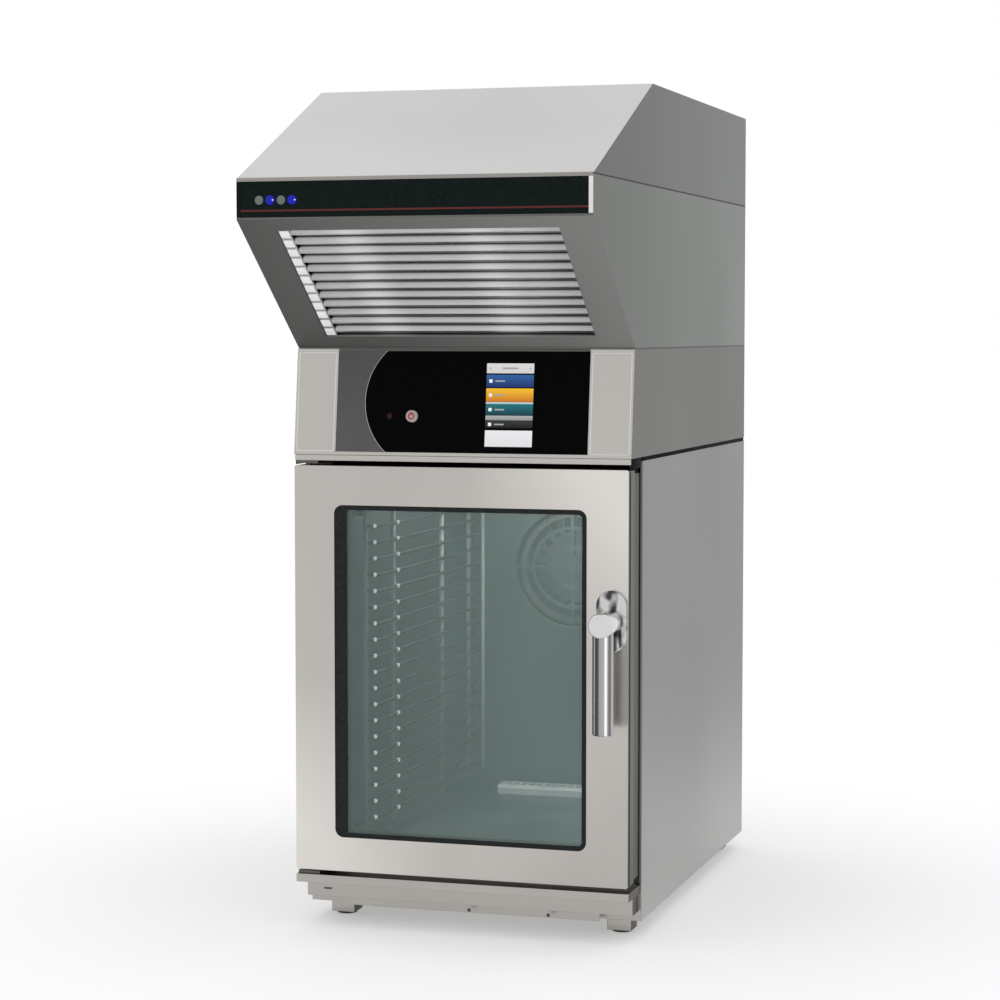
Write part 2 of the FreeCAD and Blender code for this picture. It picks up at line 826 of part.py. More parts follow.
def make_insulation():
    """Mineral wool jacket round the liner, with cut-outs for what passes through it."""
    side = cavity_half + S.sheet
    low, high = cavity_z0 - S.sheet, cavity_z1 + S.sheet
    front = frame_y + S.sheet
    back = cavity_y1 + S.sheet
    thick = S.insulation
    slack = 1
    shaft_room = 6
    heater_room = 9
    heater_half = 34
    floor = (low - thick - OVER, low + OVER)
    roof = (high - OVER, high + thick + OVER)
    rear = (back - OVER, back + thick + OVER)
    right = (side - OVER, side + thick + OVER)
    heater_z = fan_z + S.heater_radius
    outer = box("insulation_outer", (-side - thick, side + thick), (front, back + thick),
                (low - thick, high + thick))
    tools = [
        box("insulation_inner", (-side, side), (front - OVER, back), (low, high)),
        rod("insulation_drain", "Z", (0, drain_y), floor, S.drain_radius + slack),
        rod("insulation_vent", "Z", (S.vent_x, vent_y), roof, S.vent_radius + slack),
        rod("insulation_lamp", "Z", (0, lamp_y()), roof, S.lamp_flange + slack),
        rod("insulation_shaft", "Y", (0, fan_z), rear, S.shaft_radius + shaft_room),
        rod("insulation_sensor", "X", (sensor_y(), sensor_z()), right, S.sensor_nut + slack),
        rod("insulation_injector", "Y", (0, injector_z()), rear, S.injector_tube + slack),
        box("insulation_heater", (-heater_half, heater_half), rear,
            (heater_z - heater_room, heater_z + heater_room)),
    ]
    keep("insulation", cut("insulation", outer, tools))


def make_gasket():
    """Door seal: a flat ring on the face frame round the mouth, with a raised bead."""
    body = new_body("door_gasket")
    inner = 2
    bead = 3
    bead_rise = 4
    middle = S.gasket_width / 2 + OVER
    pad(body, "XZ", (door_back_y + bead_rise, frame_y), [mouth_outline(S.gasket_width), mouth_outline(inner)])
    pad(body, "XZ", (door_back_y + S.gasket_clear, door_back_y + bead_rise + OVER),
        [mouth_outline(middle + bead), mouth_outline(middle - bead)])
    keep("door_gasket", body)


# Inside the oven
def make_racks():
    """Welded wire racks: bent rails on two posts and two braces a side, hung on studs."""
    studs = []
    stud_radius = 5
    stud_inset = 10
    for name, sign in (("left_rack", -1), ("right_rack", 1)):
        body = new_body(name + "_rails")
        body.AllowCompound = True
        rear = rack_y0 + S.rack_length
        weld = (post_x - S.post_radius) * sign
        rail = rail_x * sign
        level = cavity_z0 + S.first_rail
        spine = new_sketch(body, "XY", level, [([
            (weld, rack_y0), (rail, rack_y0), (rail, rear), (weld, rear)], {})], closed=False)
        section = new_sketch(body, "YZ", weld, [circle(rack_y0, level, S.wire_radius)])
        pipe = body.newObject("PartDesign::AdditivePipe", name + "_wire")
        pipe.Profile = section
        pipe.Spine = spine
        pipe.Transition = "Right corner"
        body.Tip = pipe
        repeat_along(body, [pipe], "Z", rail_pitch * (S.rail_levels - 1), S.rail_levels)
        solids = [body]
        foot, head = cavity_z0 + S.post_foot, cavity_z1 - S.post_head
        for y in (rack_y0, rear):
            solids.append(rod(name + "_post", "Z", (post_x * sign, y), (foot, head), S.post_radius))
        brace = (rail_x + S.wire_radius + S.post_radius) * sign
        for y in (rack_y0 + S.second_post, rack_y0 + S.third_post):
            solids.append(rod(name + "_brace", "Z", (brace, y), (foot, head), S.post_radius))
        ends = low_to_high((post_x + S.post_radius) * sign, cavity_half * sign)
        for y in (rack_y0, rear):
            for z in (foot + stud_inset, head - stud_inset):
                studs.append(rod("rack_stud", "X", (y, z), ends, stud_radius))
        keep(name, group(name, solids))
    keep("rack_studs", group("rack_studs", studs))


def make_baffle():
    """Plate in front of the fan with a ringed intake, folded edges and legs to the oven's rear wall."""
    body = new_body("fan_baffle")
    corner = 8
    fold = 12
    fold_inset = 10
    leg = 14
    low_leg = 30
    high_leg = 50
    bar = 3
    raised = 3
    ring_shares = (1.0, 0.66, 0.33)
    side = cavity_half - S.baffle_side_gap
    low, high = cavity_z0 + S.baffle_low_gap, cavity_z1 - S.baffle_high_gap
    plate = (baffle_y, baffle_y + S.sheet)
    pad(body, "XZ", plate, [rounded((-side, side), (low, high), corner)])
    for x in ((-side, -side + S.sheet), (side - S.sheet, side)):
        pad(body, "XZ", (baffle_y, baffle_y + fold), [rectangle(x, (low + fold_inset, high - fold_inset))])
    for x in ((-side + S.sheet, -side + S.sheet + leg), (side - S.sheet - leg, side - S.sheet)):
        for z in (low + low_leg, high - high_leg):
            pad(body, "XZ", (baffle_y, cavity_y1), [rectangle(x, (z, z + S.sheet))])
    ring = S.intake_radius
    pocket(body, "XZ", (baffle_y - OVER, baffle_y + S.sheet + OVER), [circle(0, fan_z, ring)])
    for share in ring_shares:
        pad(body, "XZ", (baffle_y - raised, baffle_y + S.sheet),
            [circle(0, fan_z, ring * share + bar), circle(0, fan_z, ring * share - bar)])
    pad(body, "XZ", plate, [rectangle((-bar, bar), (fan_z - ring, fan_z + ring))])
    pad(body, "XZ", plate, [rectangle((-ring, ring), (fan_z - bar, fan_z + bar))])
    keep("fan_baffle", body)


def make_fan_wheel():
    """Convection wheel with swept blades between a back disc and a front ring, on its shaft."""
    body = new_body("fan_wheel")
    disc = 2
    ring_width = 10
    boss_wall = 9
    boss_depth = 26
    shaft_root = 20
    thin = 1
    sweep = 8
    depth = S.wheel_depth
    radius = S.wheel_radius
    inner = radius - S.blade_length
    tip = radius - OVER
    pad(body, "XZ", (depth - disc, depth), [circle(0, 0, radius)])
    pad(body, "XZ", (depth - boss_depth, depth), [circle(0, 0, S.shaft_radius + boss_wall)])
    blade = pad(body, "XZ", (disc / 2, depth - disc / 2), [polygon(
        (-thin, inner), (thin, inner), (sweep + thin, tip), (sweep - thin, tip))])
    repeat_around(body, [blade], "Y", S.blade_count)
    pad(body, "XZ", (0, disc), [circle(0, 0, radius), circle(0, 0, radius - ring_width)])
    tail = outer_back_y + S.motor_flange + S.shaft_grip - wheel_y0
    pad(body, "XZ", (depth - shaft_root, tail), [circle(0, 0, S.shaft_radius)])
    shift(body, 0, wheel_y0, fan_z)
    keep("fan_wheel", body)


def make_fan_motor():
    """Fan motor with its mounting flange on the insulation's back and a bore for the shaft."""
    body = new_body("fan_motor")
    ears = 25
    dome = 14
    dome_top = 4
    crown = 12
    bore_end = 2
    flange = S.motor_flange
    radius = S.motor_radius
    end = flange + S.motor_length
    bore = S.shaft_radius + S.fit
    deep = flange + S.shaft_grip + bore_end
    revolve(body, "YZ", "Y", polygon(
        (0, bore), (0, radius + ears), (flange, radius + ears), (flange, radius),
        (end - dome, radius), (end - dome_top, radius - crown + dome_top), (end, radius - crown),
        (end, 0), (deep, 0), (deep, bore)))
    shift(body, 0, outer_back_y, fan_z)
    keep("fan_motor", body)


def make_heater():
    """Two tubular heating rings round the wheel, each with two legs through the oven's back wall."""
    rings = []
    legs = heater_legs()
    first_ring = 8
    ring_pitch = 18
    leg_start = 0.8
    tail = 20
    for number, (first, last) in enumerate(((1, 2), (0, 3))):
        y = wheel_y0 + first_ring + number * ring_pitch
        ring = new_body("heater_ring")
        bend_heater(ring, legs[last][0])
        shift(ring, 0, y, fan_z)
        pieces = [ring]
        leg_ends = (y - S.heater_tube * leg_start, cavity_y1 + S.sheet + tail)
        for k in (first, last):
            pieces.append(rod("heater_leg", "Y", legs[k], leg_ends, heater_leg))
        rings.append(fuse("heater_loop", pieces))
    keep("heating_element", group("heating_element", rings))


def bend_heater(body, gap):
    """An eight-sided tube bent round the Y axis, open at the top between the two legs."""
    radius = S.heater_radius
    far = S.heater_tube
    near = S.heater_tube * math.tan(math.radians(22.5))
    corners = [
        (near, far), (far, near), (far, -near), (near, -far),
        (-near, -far), (-far, -near), (-far, near), (-near, far)]
    outline = polygon(*[(v, radius + u) for u, v in corners])
    feature = body.newObject("PartDesign::Revolution", body.Name + "_turned")
    feature.Profile = new_sketch(body, "YZ", 0, [outline])
    feature.ReferenceAxis = (origin_feature(body, "Y_Axis"), [""])
    open_angle = angle_of(gap, root(radius * radius - gap * gap))
    bind(feature, "Angle", 360 - open_angle * 2)
    body.Tip = feature
    bind(body, "Placement.Rotation.Angle", open_angle)
    bind(body, "Placement.Rotation.Axis.x", 0)
    bind(body, "Placement.Rotation.Axis.y", 1)
    bind(body, "Placement.Rotation.Axis.z", 0)


def bent_tube(body, plane, start, path, bend, section):
    """A section carried along a path that starts on a plane and bends once."""
    spine = new_sketch(body, "YZ", 0, [(path, {1: (measure(bend), 1)})], closed=False)
    pipe = body.newObject("PartDesign::AdditivePipe", body.Name + "_tube")
    pipe.Profile = new_sketch(body, plane, start, section)
    pipe.Spine = spine
    body.Tip = pipe


def make_injector():
    """Water tube that comes through the back wall above the fan and drops to the hub."""
    body = new_body("steam_injector")
    bend = 12
    wall = 1
    plate_gap = 2.5
    end_above_hub = 20
    tube = S.injector_tube
    high = injector_z()
    front = baffle_y + S.sheet + tube + plate_gap
    back = cavity_y1 + S.sheet + S.insulation
    path = [(back, high), (front + bend, high), (front, high - bend), (front, fan_z + end_above_hub)]
    bent_tube(body, "XZ", back, path, bend, [circle(0, high, tube), circle(0, high, tube - wall)])
    keep("steam_injector", body)


def make_strainer():
    """Slotted cover over the drain on the oven floor."""
    body = new_body("drain_strainer")
    bevel = 5
    edge = 6
    slot_edge = 12
    slot_wide = 5
    slot_end = 9
    slots = 16
    side, wide = S.strainer_length / 2, S.strainer_width / 2
    low, high = cavity_z0, cavity_z0 + S.strainer_height
    pad(body, "YZ", (-side, side), [polygon(
        (drain_y - wide, low), (drain_y + wide, low), (drain_y + wide, high - bevel),
        (drain_y + wide - bevel, high), (drain_y - wide + bevel, high), (drain_y - wide, high - bevel))])
    pocket(body, "XY", (low - OVER, high - S.sheet), [rectangle(
        (-side + S.sheet, side - S.sheet), (drain_y - wide + edge, drain_y + wide - edge))])
    slot = pocket(body, "XY", (high - S.sheet - OVER, high + OVER), [rounded(
        (-side + slot_edge, -side + slot_edge + slot_wide),
        (drain_y - wide + slot_end, drain_y + wide - slot_end), slot_wide * NEARLY_HALF)])
    repeat_along(body, [slot], "X", S.strainer_length - slot_edge * 2 - slot_wide, slots)
    keep("drain_strainer", body)


def make_drain():
    """Drain pipe from the oven floor down and out through the back, with a collar in the back panel."""
    body = new_body("drain_pipe")
    collar_depth = 6
    bend = drain_bend
    top = cavity_z0 - S.sheet
    path = [(drain_y, top), (drain_y, drain_z + bend), (drain_y + bend, drain_z), (rear_y, drain_z)]
    bent_tube(body, "XY", top, path, bend, [
        circle(0, drain_y, S.drain_radius), circle(0, drain_y, S.drain_radius - S.drain_wall)])
    pad(body, "XZ", (back_y - S.sheet - collar_depth, back_y), [
        circle(0, drain_z, S.drain_radius + S.collar), circle(0, drain_z, S.drain_radius - S.drain_wall / 2)])
    keep("drain_pipe", body)


def valve_spots():
    """Centres of the two water inlets across the back."""
    right = half - S.valve_inset
    return [right - S.inlet_spacing, right]


def make_valves():
    """Two solenoid valves behind the back panel, each with an inlet spigot, a collar and a coil."""
    valves = []
    collar_depth = 12
    coil_back = 27
    coil_radius = 14
    coil_low = 10
    coil_high = 38
    stem_radius = 9
    spigot_wall = 3.5
    bore_end = 2
    z = S.valve_height
    wall = back_y - S.sheet
    for x in valve_spots():
        collar = rod("valve_collar", "Y", (x, z), (wall - collar_depth, back_y), S.inlet_radius + S.collar)
        spigot = rod("valve_spigot", "Y", (x, z), (wall, rear_y), S.inlet_radius)
        coil = rod("valve_coil", "Z", (x, wall - coil_back), (z - coil_low, z + coil_high), coil_radius)
        stem = rod("valve_stem", "Y", (x, z), (wall - coil_back, wall - bore_end), stem_radius)
        solid = fuse("valve_body", [spigot, collar, coil, stem])
        bore = rod("valve_bore", "Y", (x, z), (wall + bore_end, rear_y + OVER), S.inlet_radius - spigot_wall)
        valves.append(cut("water_valve", solid, [bore]))
    keep("water_valves", group("water_valves", valves))


def gland_x():
    """Place of the cable gland across the back."""
    return -half + S.gland_inset


def make_gland():
    """Cable gland in the back panel: a nut inside, a flanged hexagon and a clamping cap outside."""
    body = new_body("cable_gland")
    nut = 6
    thread = 2
    flange = 7
    cap_step = 4
    cap_back = 3
    x, z = gland_x(), S.valve_height
    wall = back_y - S.sheet
    neck = S.gland_radius - S.gland_step
    hexagon = []
    for k in range(6):
        turn = math.radians(60 * k)
        hexagon.append((x + S.gland_radius * math.cos(turn), z + S.gland_radius * math.sin(turn)))
    pad(body, "XZ", (wall - nut, wall), [polygon(*hexagon)])
    pad(body, "XZ", (wall - nut - thread, back_y + flange), [circle(x, z, neck)])
    pad(body, "XZ", (back_y, back_y + flange), [polygon(*hexagon)])
    pad(body, "XZ", (back_y + flange - OVER, rear_y - cap_back), [circle(x, z, S.gland_radius - cap_step)])
    pocket(body, "XZ", (wall - nut - thread - OVER, rear_y), [circle(x, z, S.cable_radius)])
    keep("cable_gland", body)


def make_vent():
    """Steam vent from the oven roof through the control housing into the hood."""
    body = new_body("vent_pipe")
    reach = 30
    pad(body, "XY", (cavity_z1 + S.sheet, hood_z0 + reach), [
        circle(S.vent_x, vent_y, S.vent_radius), circle(S.vent_x, vent_y, S.vent_radius - S.vent_wall)])
    keep("vent_pipe", body)


def make_lamp():
    """Ceiling lamp: a glass dome below the oven roof, a flange on it and a turned holder above."""
    body = new_body("oven_lamp")
    dome = [(0, -8), (14, -7), (22, -3), (S.lamp_radius, -S.sheet), (S.lamp_radius, 0)]
    flange = [(S.lamp_flange, 0), (S.lamp_flange, 4)]
    holder = [(24, 5), (20, 20), (12, 25), (0, 25)]
    revolve(body, "XZ", "Z", polygon(*dome, *flange, *holder))
    shift(body, 0, lamp_y(), cavity_z1 + S.sheet)
    keep("oven_lamp", body)


def make_sensor():
    """Temperature probe through the right wall, with its nut outside."""
    body = new_body("temperature_sensor")
    thin = S.sensor_radius
    probe = [(-30, 0), (-30, thin - 1), (-28, thin), (0, thin)]
    nut = [(0, S.sensor_nut), (6, S.sensor_nut), (6, 4)]
    lead = [(16, 4), (16, 0)]
    revolve(body, "XZ", "X", polygon(*probe, *nut, *lead))
    shift(body, cavity_half + S.sheet, sensor_y(), sensor_z())
    keep("temperature_sensor", body)


# Door
def window_outline():
    """Rounded window of the door."""
    return rounded((-window_half, window_half), (window_z0, window_z1), S.window_radius)


def spindle_hole():
    """Hole for the latch spindle."""
    return circle(lever_x, lever_z, S.spindle_radius + S.hole_clear)


def make_door_skin():
    """Outer door tray: face sheet with the window and four folded edges."""
    body = new_body("door_skin")
    rim = rounded((-door_half, door_half), (door_z0, door_z1), S.door_edge_radius)
    inner = rectangle((-door_half + S.sheet, door_half - S.sheet), (door_z0 + S.sheet, door_z1 - S.sheet))
    pad(body, "XZ", (door_y, door_y + S.door_skin_depth), [rim])
    pocket(body, "XZ", (door_y + S.sheet, door_y + S.door_skin_depth + OVER), [inner])
    pocket(body, "XZ", (door_y - OVER, door_y + S.sheet + OVER), [window_outline(), spindle_hole()])
    pocket(body, "XY", (door_z0 - OVER, door_z1 + OVER),
           [circle(pivot_x, pivot_y, S.pin_radius + S.hole_clear * 2)])
    keep("door_skin", body)


def make_door_liner():
    """Inner door tray that faces the oven, with its own window."""
    body = new_body("door_liner")
    corner = 4
    side = door_half - S.door_liner_inset
    low, high = door_z0 + S.door_liner_inset, door_z1 - S.door_liner_inset
    front = door_y + S.door_skin_depth + S.door_groove
    pad(body, "XZ", (front, door_back_y), [rounded((-side, side), (low, high), corner)])
    pocket(body, "XZ", (front - OVER, door_back_y - S.sheet), [rectangle(
        (-side + S.sheet, side - S.sheet), (low + S.sheet, high - S.sheet))])
    pocket(body, "XZ", (door_back_y - S.sheet - OVER, door_back_y + OVER), [window_outline(), spindle_hole()])
    keep("door_liner", body)


def make_panes():
    """Outer and inner panes and the deep spacer ring that holds them apart."""
    outline = rounded((-pane_half, pane_half), (pane_z0, pane_z1), S.window_radius)
    front = door_y + S.sheet
    back = door_back_y - S.sheet
    outer = new_body("outer_glass")
    pad(outer, "XZ", (front, front + S.glass), [outline])
    keep("outer_glass", outer)
    inner = new_body("inner_glass")
    pad(inner, "XZ", (back - S.glass, back), [outline])
    keep("inner_glass", inner)
    spacer = new_body("glass_spacer")
    pad(spacer, "XZ", (front + S.glass, back - S.glass), [outline, window_outline()])
    keep("glass_spacer", spacer)


def make_hinges():
    """Two angle brackets on the face frame with pins, and the bushes in the door that turn on them."""
    brackets = []
    bushes = []
    edge_inset = 1
    nose = 12
    left = pivot_x - S.pivot_inset + edge_inset
    across = (left, left + S.bracket_width)
    plate, leg = S.bracket_plate, S.bracket_leg
    bore = S.pin_radius + S.fit
    for edge, sign in ((door_z1, 1), (door_z0, -1)):
        near = edge + S.bracket_gap * sign
        far = near + plate * sign
        body = new_body("hinge_bracket")
        pad(body, "YZ", across, [polygon(
            (pivot_y - nose, near), (pivot_y - nose, far), (frame_y, far), (frame_y, far - leg * sign),
            (frame_y - plate, far - leg * sign), (frame_y - plate, near))])
        pin_ends = low_to_high(edge - S.pin_length * sign, far)
        pad(body, "XY", pin_ends, [circle(pivot_x, pivot_y, S.pin_radius)])
        brackets.append(body)
        seat = edge - S.sheet * sign
        bush = new_body("hinge_bush")
        bush_ends = low_to_high(seat, seat - S.pin_length * sign)
        pad(bush, "XY", bush_ends, [
            circle(pivot_x, pivot_y, bore + S.bush_wall), circle(pivot_x, pivot_y, bore)])
        bushes.append(bush)
    keep("hinge_brackets", group("hinge_brackets", brackets))
    keep("hinge_bushes", group("hinge_bushes", bushes))


def rosette_outline(inset):
    """Outline of the rosette with full-round ends."""
    wide, tall = S.rosette_width / 2 - inset, S.rosette_height / 2 - inset
    return rounded((lever_x - wide, lever_x + wide), (lever_z - tall, lever_z + tall), wide * 2 * NEARLY_HALF)


def make_rosette():
    """Long rosette on the door face, with a stepped edge."""
    body = new_body("handle_rosette")
    step = 2
    front = door_y - S.rosette_thickness
    pad(body, "XZ", (front + step, door_y), [rosette_outline(0), spindle_hole()])
    pad(body, "XZ", (front, front + step + OVER), [rosette_outline(step), spindle_hole()])
    keep("handle_rosette", body)


def make_lever():
    """Turning lever: a round hub with a socket for the spindle, and a round grip that hangs from it."""
    hub = new_body("lever_hub")
    bevel = 2
    skirt = 8
    skirt_step = 3
    reach = S.hub_reach
    start = S.rosette_thickness + S.hub_clear
    socket = start + S.hub_socket
    revolve(hub, "YZ", "Y", polygon(
        (-reach, 0), (-reach, S.hub_radius - bevel), (-reach + bevel, S.hub_radius),
        (-start - skirt, S.hub_radius), (-start, S.hub_radius - skirt_step), (-start, S.spindle_radius),
        (-socket, S.spindle_radius), (-socket, 0)))
    shift(hub, lever_x, door_y, lever_z)
    grip = new_body("lever_grip")
    radius = S.grip_radius
    end = -S.grip_drop
    crown = [(radius, end + 5), (radius - 2, end + 1.5), (radius - 6, end), (0, end)]
    revolve(grip, "XZ", "Z", polygon((0, 0), (radius, 0), *crown))
    shift(grip, lever_x, door_y - S.grip_standoff, lever_z)
    keep("door_lever", fuse("door_lever", [hub, grip]))


def tongue_y():
    """Front of the latch tongue in the gap behind the door."""
    frame_gap = 1
    return frame_y - S.tongue - frame_gap


def make_latch():
    """Spindle with the latch tongue, and the sleeve in the door that it turns in."""
    bore = S.spindle_radius + S.fit
    sleeve = new_body("spindle_sleeve")
    pad(sleeve, "XZ", (door_y + S.sheet, door_back_y - S.sheet), [
        circle(lever_x, lever_z, bore + S.sleeve_wall), circle(lever_x, lever_z, bore)])
    keep("spindle_sleeve", sleeve)

    spindle = new_body("latch_spindle")
    heel = 2
    start = door_y - S.rosette_thickness - S.hub_clear - S.hub_socket
    back = tongue_y() + S.tongue
    pad(spindle, "XZ", (start, back), [circle(lever_x, lever_z, S.spindle_radius)])
    side = S.tongue_width / 2
    tip = rounded((lever_x - side, lever_x + side), (lever_z - side - heel, lever_z + S.tongue_reach),
                  S.tongue_width * NEARLY_HALF)
    pad(spindle, "XZ", (tongue_y(), back), [tip])
    keep("latch_spindle", spindle)


def make_keeper():
    """Latch keeper on the face frame, with a lip in front of the tongue's tip."""
    body = new_body("latch_keeper")
    tip_gap = 2.5
    lip_drop = 12
    block = 22
    play = 0.6
    side = S.tongue_width / 2
    clear = lever_z + S.tongue_reach + tip_gap
    lip_back = tongue_y() - play
    lip_front = lip_back - S.keeper_lip
    pad(body, "YZ", (lever_x - side, lever_x + side), [polygon(
        (lip_front, clear - lip_drop), (lip_back, clear - lip_drop), (lip_back, clear), (frame_y, clear),
        (frame_y, clear + block), (lip_front, clear + block))])
    keep("latch_keeper", body)


# Control housing
def make_housing():
    """Folded control housing, open at the front, with holes for the vent."""
    body = new_body("control_housing")
    front_low = fascia_y + S.panel * fascia_height / S.housing_height
    front_high = front_low + S.fascia_lean
    pad(body, "YZ", (-half, half), [polygon(
        (front_low, housing_z0), (back_y, housing_z0), (back_y, housing_z1), (front_high, housing_z1))])
    hollow(body, S.sheet, lambda face: face.normalAt(0, 0).y < -0.9)
    pocket(body, "XY", (housing_z0 - OVER, housing_z1 + OVER),
           [circle(S.vent_x, vent_y, S.vent_radius + S.hole_clear)])
    keep("control_housing", body)


def make_housing_rail():
    """Recessed rail in the shadow gap that the control housing stands on."""
    body = new_body("housing_rail")
    recess = 6
    wide = 20
    side = half - recess
    front, back = frame_y + recess, back_y - recess
    pad(body, "XY", (deck_z, housing_z0), [
        rectangle((-side, side), (front, back)),
        rectangle((-side + wide, side - wide), (front + wide, back - wide))])
    keep("housing_rail", body)


def control_button_z():
    """Height of the power button and the status lens on the control front."""
    return S.fascia_lip + S.seam + S.power_height


def make_fascia():
    """Leaning control front: steel face with a wide opening, filled by a grey insert and the black glass."""
    low, high = S.fascia_lip, fascia_height - S.fascia_top_lip
    side = half - S.panel_margin
    face = new_body("control_fascia")
    pad(face, "XZ", (0, S.panel), [
        rectangle((-half, half), (0, fascia_height)), rectangle((-side, side), (low, high))])
    on_fascia(face)
    keep("control_fascia", face)

    gap = S.seam
    low, high = low + gap, high - gap
    chord = high - low
    radius = (chord * chord / 4 + S.arc_bulge * S.arc_bulge) / (S.arc_bulge * 2)
    left = -S.arc_chord_x
    insert = new_body("fascia_insert")
    insert_recess = 0.4
    pad(insert, "XZ", (insert_recess, S.panel), [([
        (-side + gap, low), (left - gap, low), (left - gap, high), (-side + gap, high)], {1: (radius, -1)})])
    on_fascia(insert)
    keep("fascia_insert", insert)

    glass = new_body("control_glass")
    glass_outline = ([(left, low), (side - gap, low), (side - gap, high), (left, high)], {3: (radius, 1)})
    across, tall = display_ends()
    screen = rectangle((across[0] - gap, across[1] + gap), (tall[0] - gap, tall[1] + gap))
    button = circle(-S.power_x, control_button_z(), S.power_radius + S.button_clear)
    lens = circle(-S.lens_x, control_button_z(), S.lens_radius + S.lens_clear)
    pad(glass, "XZ", (0, S.panel), [glass_outline, screen, button, lens])
    on_fascia(glass)
    keep("control_glass", glass)


def display_ends():
    """Ends of the display across and up the control front."""
    low = S.fascia_lip + S.seam + S.display_low
    return (S.display_left, S.display_left + S.display_width), (low, low + S.display_height)


def make_display():
    """Display in the black glass, with a wider back that rests on the glass from behind."""
    body = new_body("display_module")
    recess = 0.3
    back_side = 6
    back_low = 4
    back_depth = 9
    across, tall = display_ends()
    pad(body, "XZ", (recess, S.panel + OVER), [rectangle(across, tall)])
    pad(body, "XZ", (S.panel, S.panel + back_depth), [rectangle(
        (across[0] - back_side, across[1] + back_side), (tall[0] - back_low, tall[1] + back_side))])
    on_fascia(body)
    keep("display_module", body)


def make_control_buttons():
    """Status lens and the flanged power button in the black glass."""
    z = control_button_z()
    lens_tail = 6
    status = new_body("status_lens")
    pad(status, "XZ", (0, S.panel + lens_tail), [circle(-S.lens_x, z, S.lens_radius)])
    on_fascia(status)
    keep("status_lens", status)

    flange = 2
    power = new_body("power_button")
    pad(power, "XZ", (-S.button_proud, S.panel + flange), [circle(-S.power_x, z, S.power_radius)])
    pad(power, "XZ", (S.panel + S.button_clear, S.panel + flange),
        [circle(-S.power_x, z, S.power_radius + flange)])
    on_fascia(power)
    keep("power_button", power)


def make_board():
    """Control board behind the front on four posts, with the switch behind the power button."""
    body = new_body("control_board")
    standoff = 10
    board = 2
    side_gap = 10
    low_gap = 6
    high_gap = 12
    post_inset = 4
    post_radius = 4
    switch_radius = 6
    switch_front = 5
    side = half - S.panel_margin - side_gap
    low = S.fascia_lip + S.seam + low_gap
    high = fascia_height - S.fascia_top_lip - S.seam - high_gap
    seat = S.panel + standoff
    pad(body, "XZ", (seat, seat + board), [rectangle((-side, side), (low, high))])
    pad(body, "XZ", (S.panel + switch_front, seat + OVER),
        [circle(-S.power_x, control_button_z(), switch_radius)])
    for x in (-side + post_inset, side - post_inset):
        for z in (low + post_inset, high - post_inset):
            pad(body, "XZ", (S.panel, seat + OVER), [circle(x, z, post_radius)])
    on_fascia(body)
    keep("control_board", body)


def make_contactor():
    """Contactor block on the housing floor, with slots between its poles."""
    body = new_body("power_contactor")
    left, right = -140, 20
    deep = 35
    top_deep = 18
    shoulder = 45
    tall = 62
    slot_floor = 30
    slot_wide = 6
    first_slot = 18
    slots = 4
    floor = housing_z0 + S.sheet
    y = door_y + S.contactor_setback
    pad(body, "YZ", (left, right), [polygon(
        (y - deep, floor), (y + deep, floor), (y + deep, floor + shoulder), (y + top_deep, floor + tall),
        (y - top_deep, floor + tall), (y - deep, floor + shoulder))])
    slot = pocket(body, "YZ", (left + first_slot, left + first_slot + slot_wide), [rectangle(
        (y - deep - OVER, y + deep + OVER), (floor + slot_floor, floor + tall + OVER))])
    repeat_along(body, [slot], "X", right - left - first_slot * 2 - slot_wide, slots)
    keep("power_contactor", body)


# Hood
def make_hood_body():
    """Lower hood shell with a sloped underside, open at the nose and along the top."""
    body = new_body("hood_body_shell")
    pad(body, "YZ", (-half, half), [polygon(
        (hood_y, hood_z0), (back_y, hood_z0), (back_y, nose_z1), (nose_y, nose_z1), (nose_y, nose_z0))])
    hollow(body, S.sheet, lambda face: face.normalAt(0, 0).z > 0.9)
    strip = half - S.nose_side_strip
    pocket(body, "XZ", (nose_y - OVER, nose_y + S.sheet + OVER),
           [rectangle((-strip, strip), (nose_z0 + S.nose_low_lip, nose_z1 - S.nose_high_lip))])
    pocket(body, "XY", (hood_z0 - OVER, hood_z0 + S.sheet + OVER),
           [circle(S.vent_x, vent_y, S.vent_radius + S.hole_clear)])
    side = half - S.filter_margin_side
    mouth = box("filter_mouth", (-side, side), (-S.sheet - OVER, S.sheet + OVER),
                (S.filter_margin_low, slope_length - S.filter_margin_high))
    leaning_mouth = group("leaning_mouth", [mouth])
    on_slope(leaning_mouth)
    keep("hood_body", cut("hood_body", body, [leaning_mouth]))


def make_hood_cap():
    """Upper hood shell: sloped front, flat top with outlet slots at the rear, open below."""
    body = new_body("hood_cap")
    slot_half = 170
    slot_wide = 7
    slots_from_back = 150
    slots_spread = 112
    slots = 8
    ridge_y = door_y + S.ridge_setback
    pad(body, "YZ", (-half, half), [polygon(
        (nose_y, nose_z1), (back_y, nose_z1), (back_y, top_z), (ridge_y, top_z))])
    hollow(body, S.sheet, lambda face: face.normalAt(0, 0).z < -0.9)
    start = back_y - slots_from_back
    slot = pocket(body, "XY", (top_z - S.sheet - OVER, top_z + OVER), [rounded(
        (-slot_half, slot_half), (start, start + slot_wide), slot_wide * NEARLY_HALF)])
    repeat_along(body, [slot], "Y", slots_spread, slots)
    keep("hood_cap", body)


def hood_button_spots():
    """Centres of the two grey lenses and the two lit buttons on the nose, in turn."""
    drop = 1.5
    first = -half + S.hood_button_edge
    z = nose_z0 + S.nose_height / 2 - drop
    return [(first + S.hood_button_pitch * k, z) for k in range(4)]


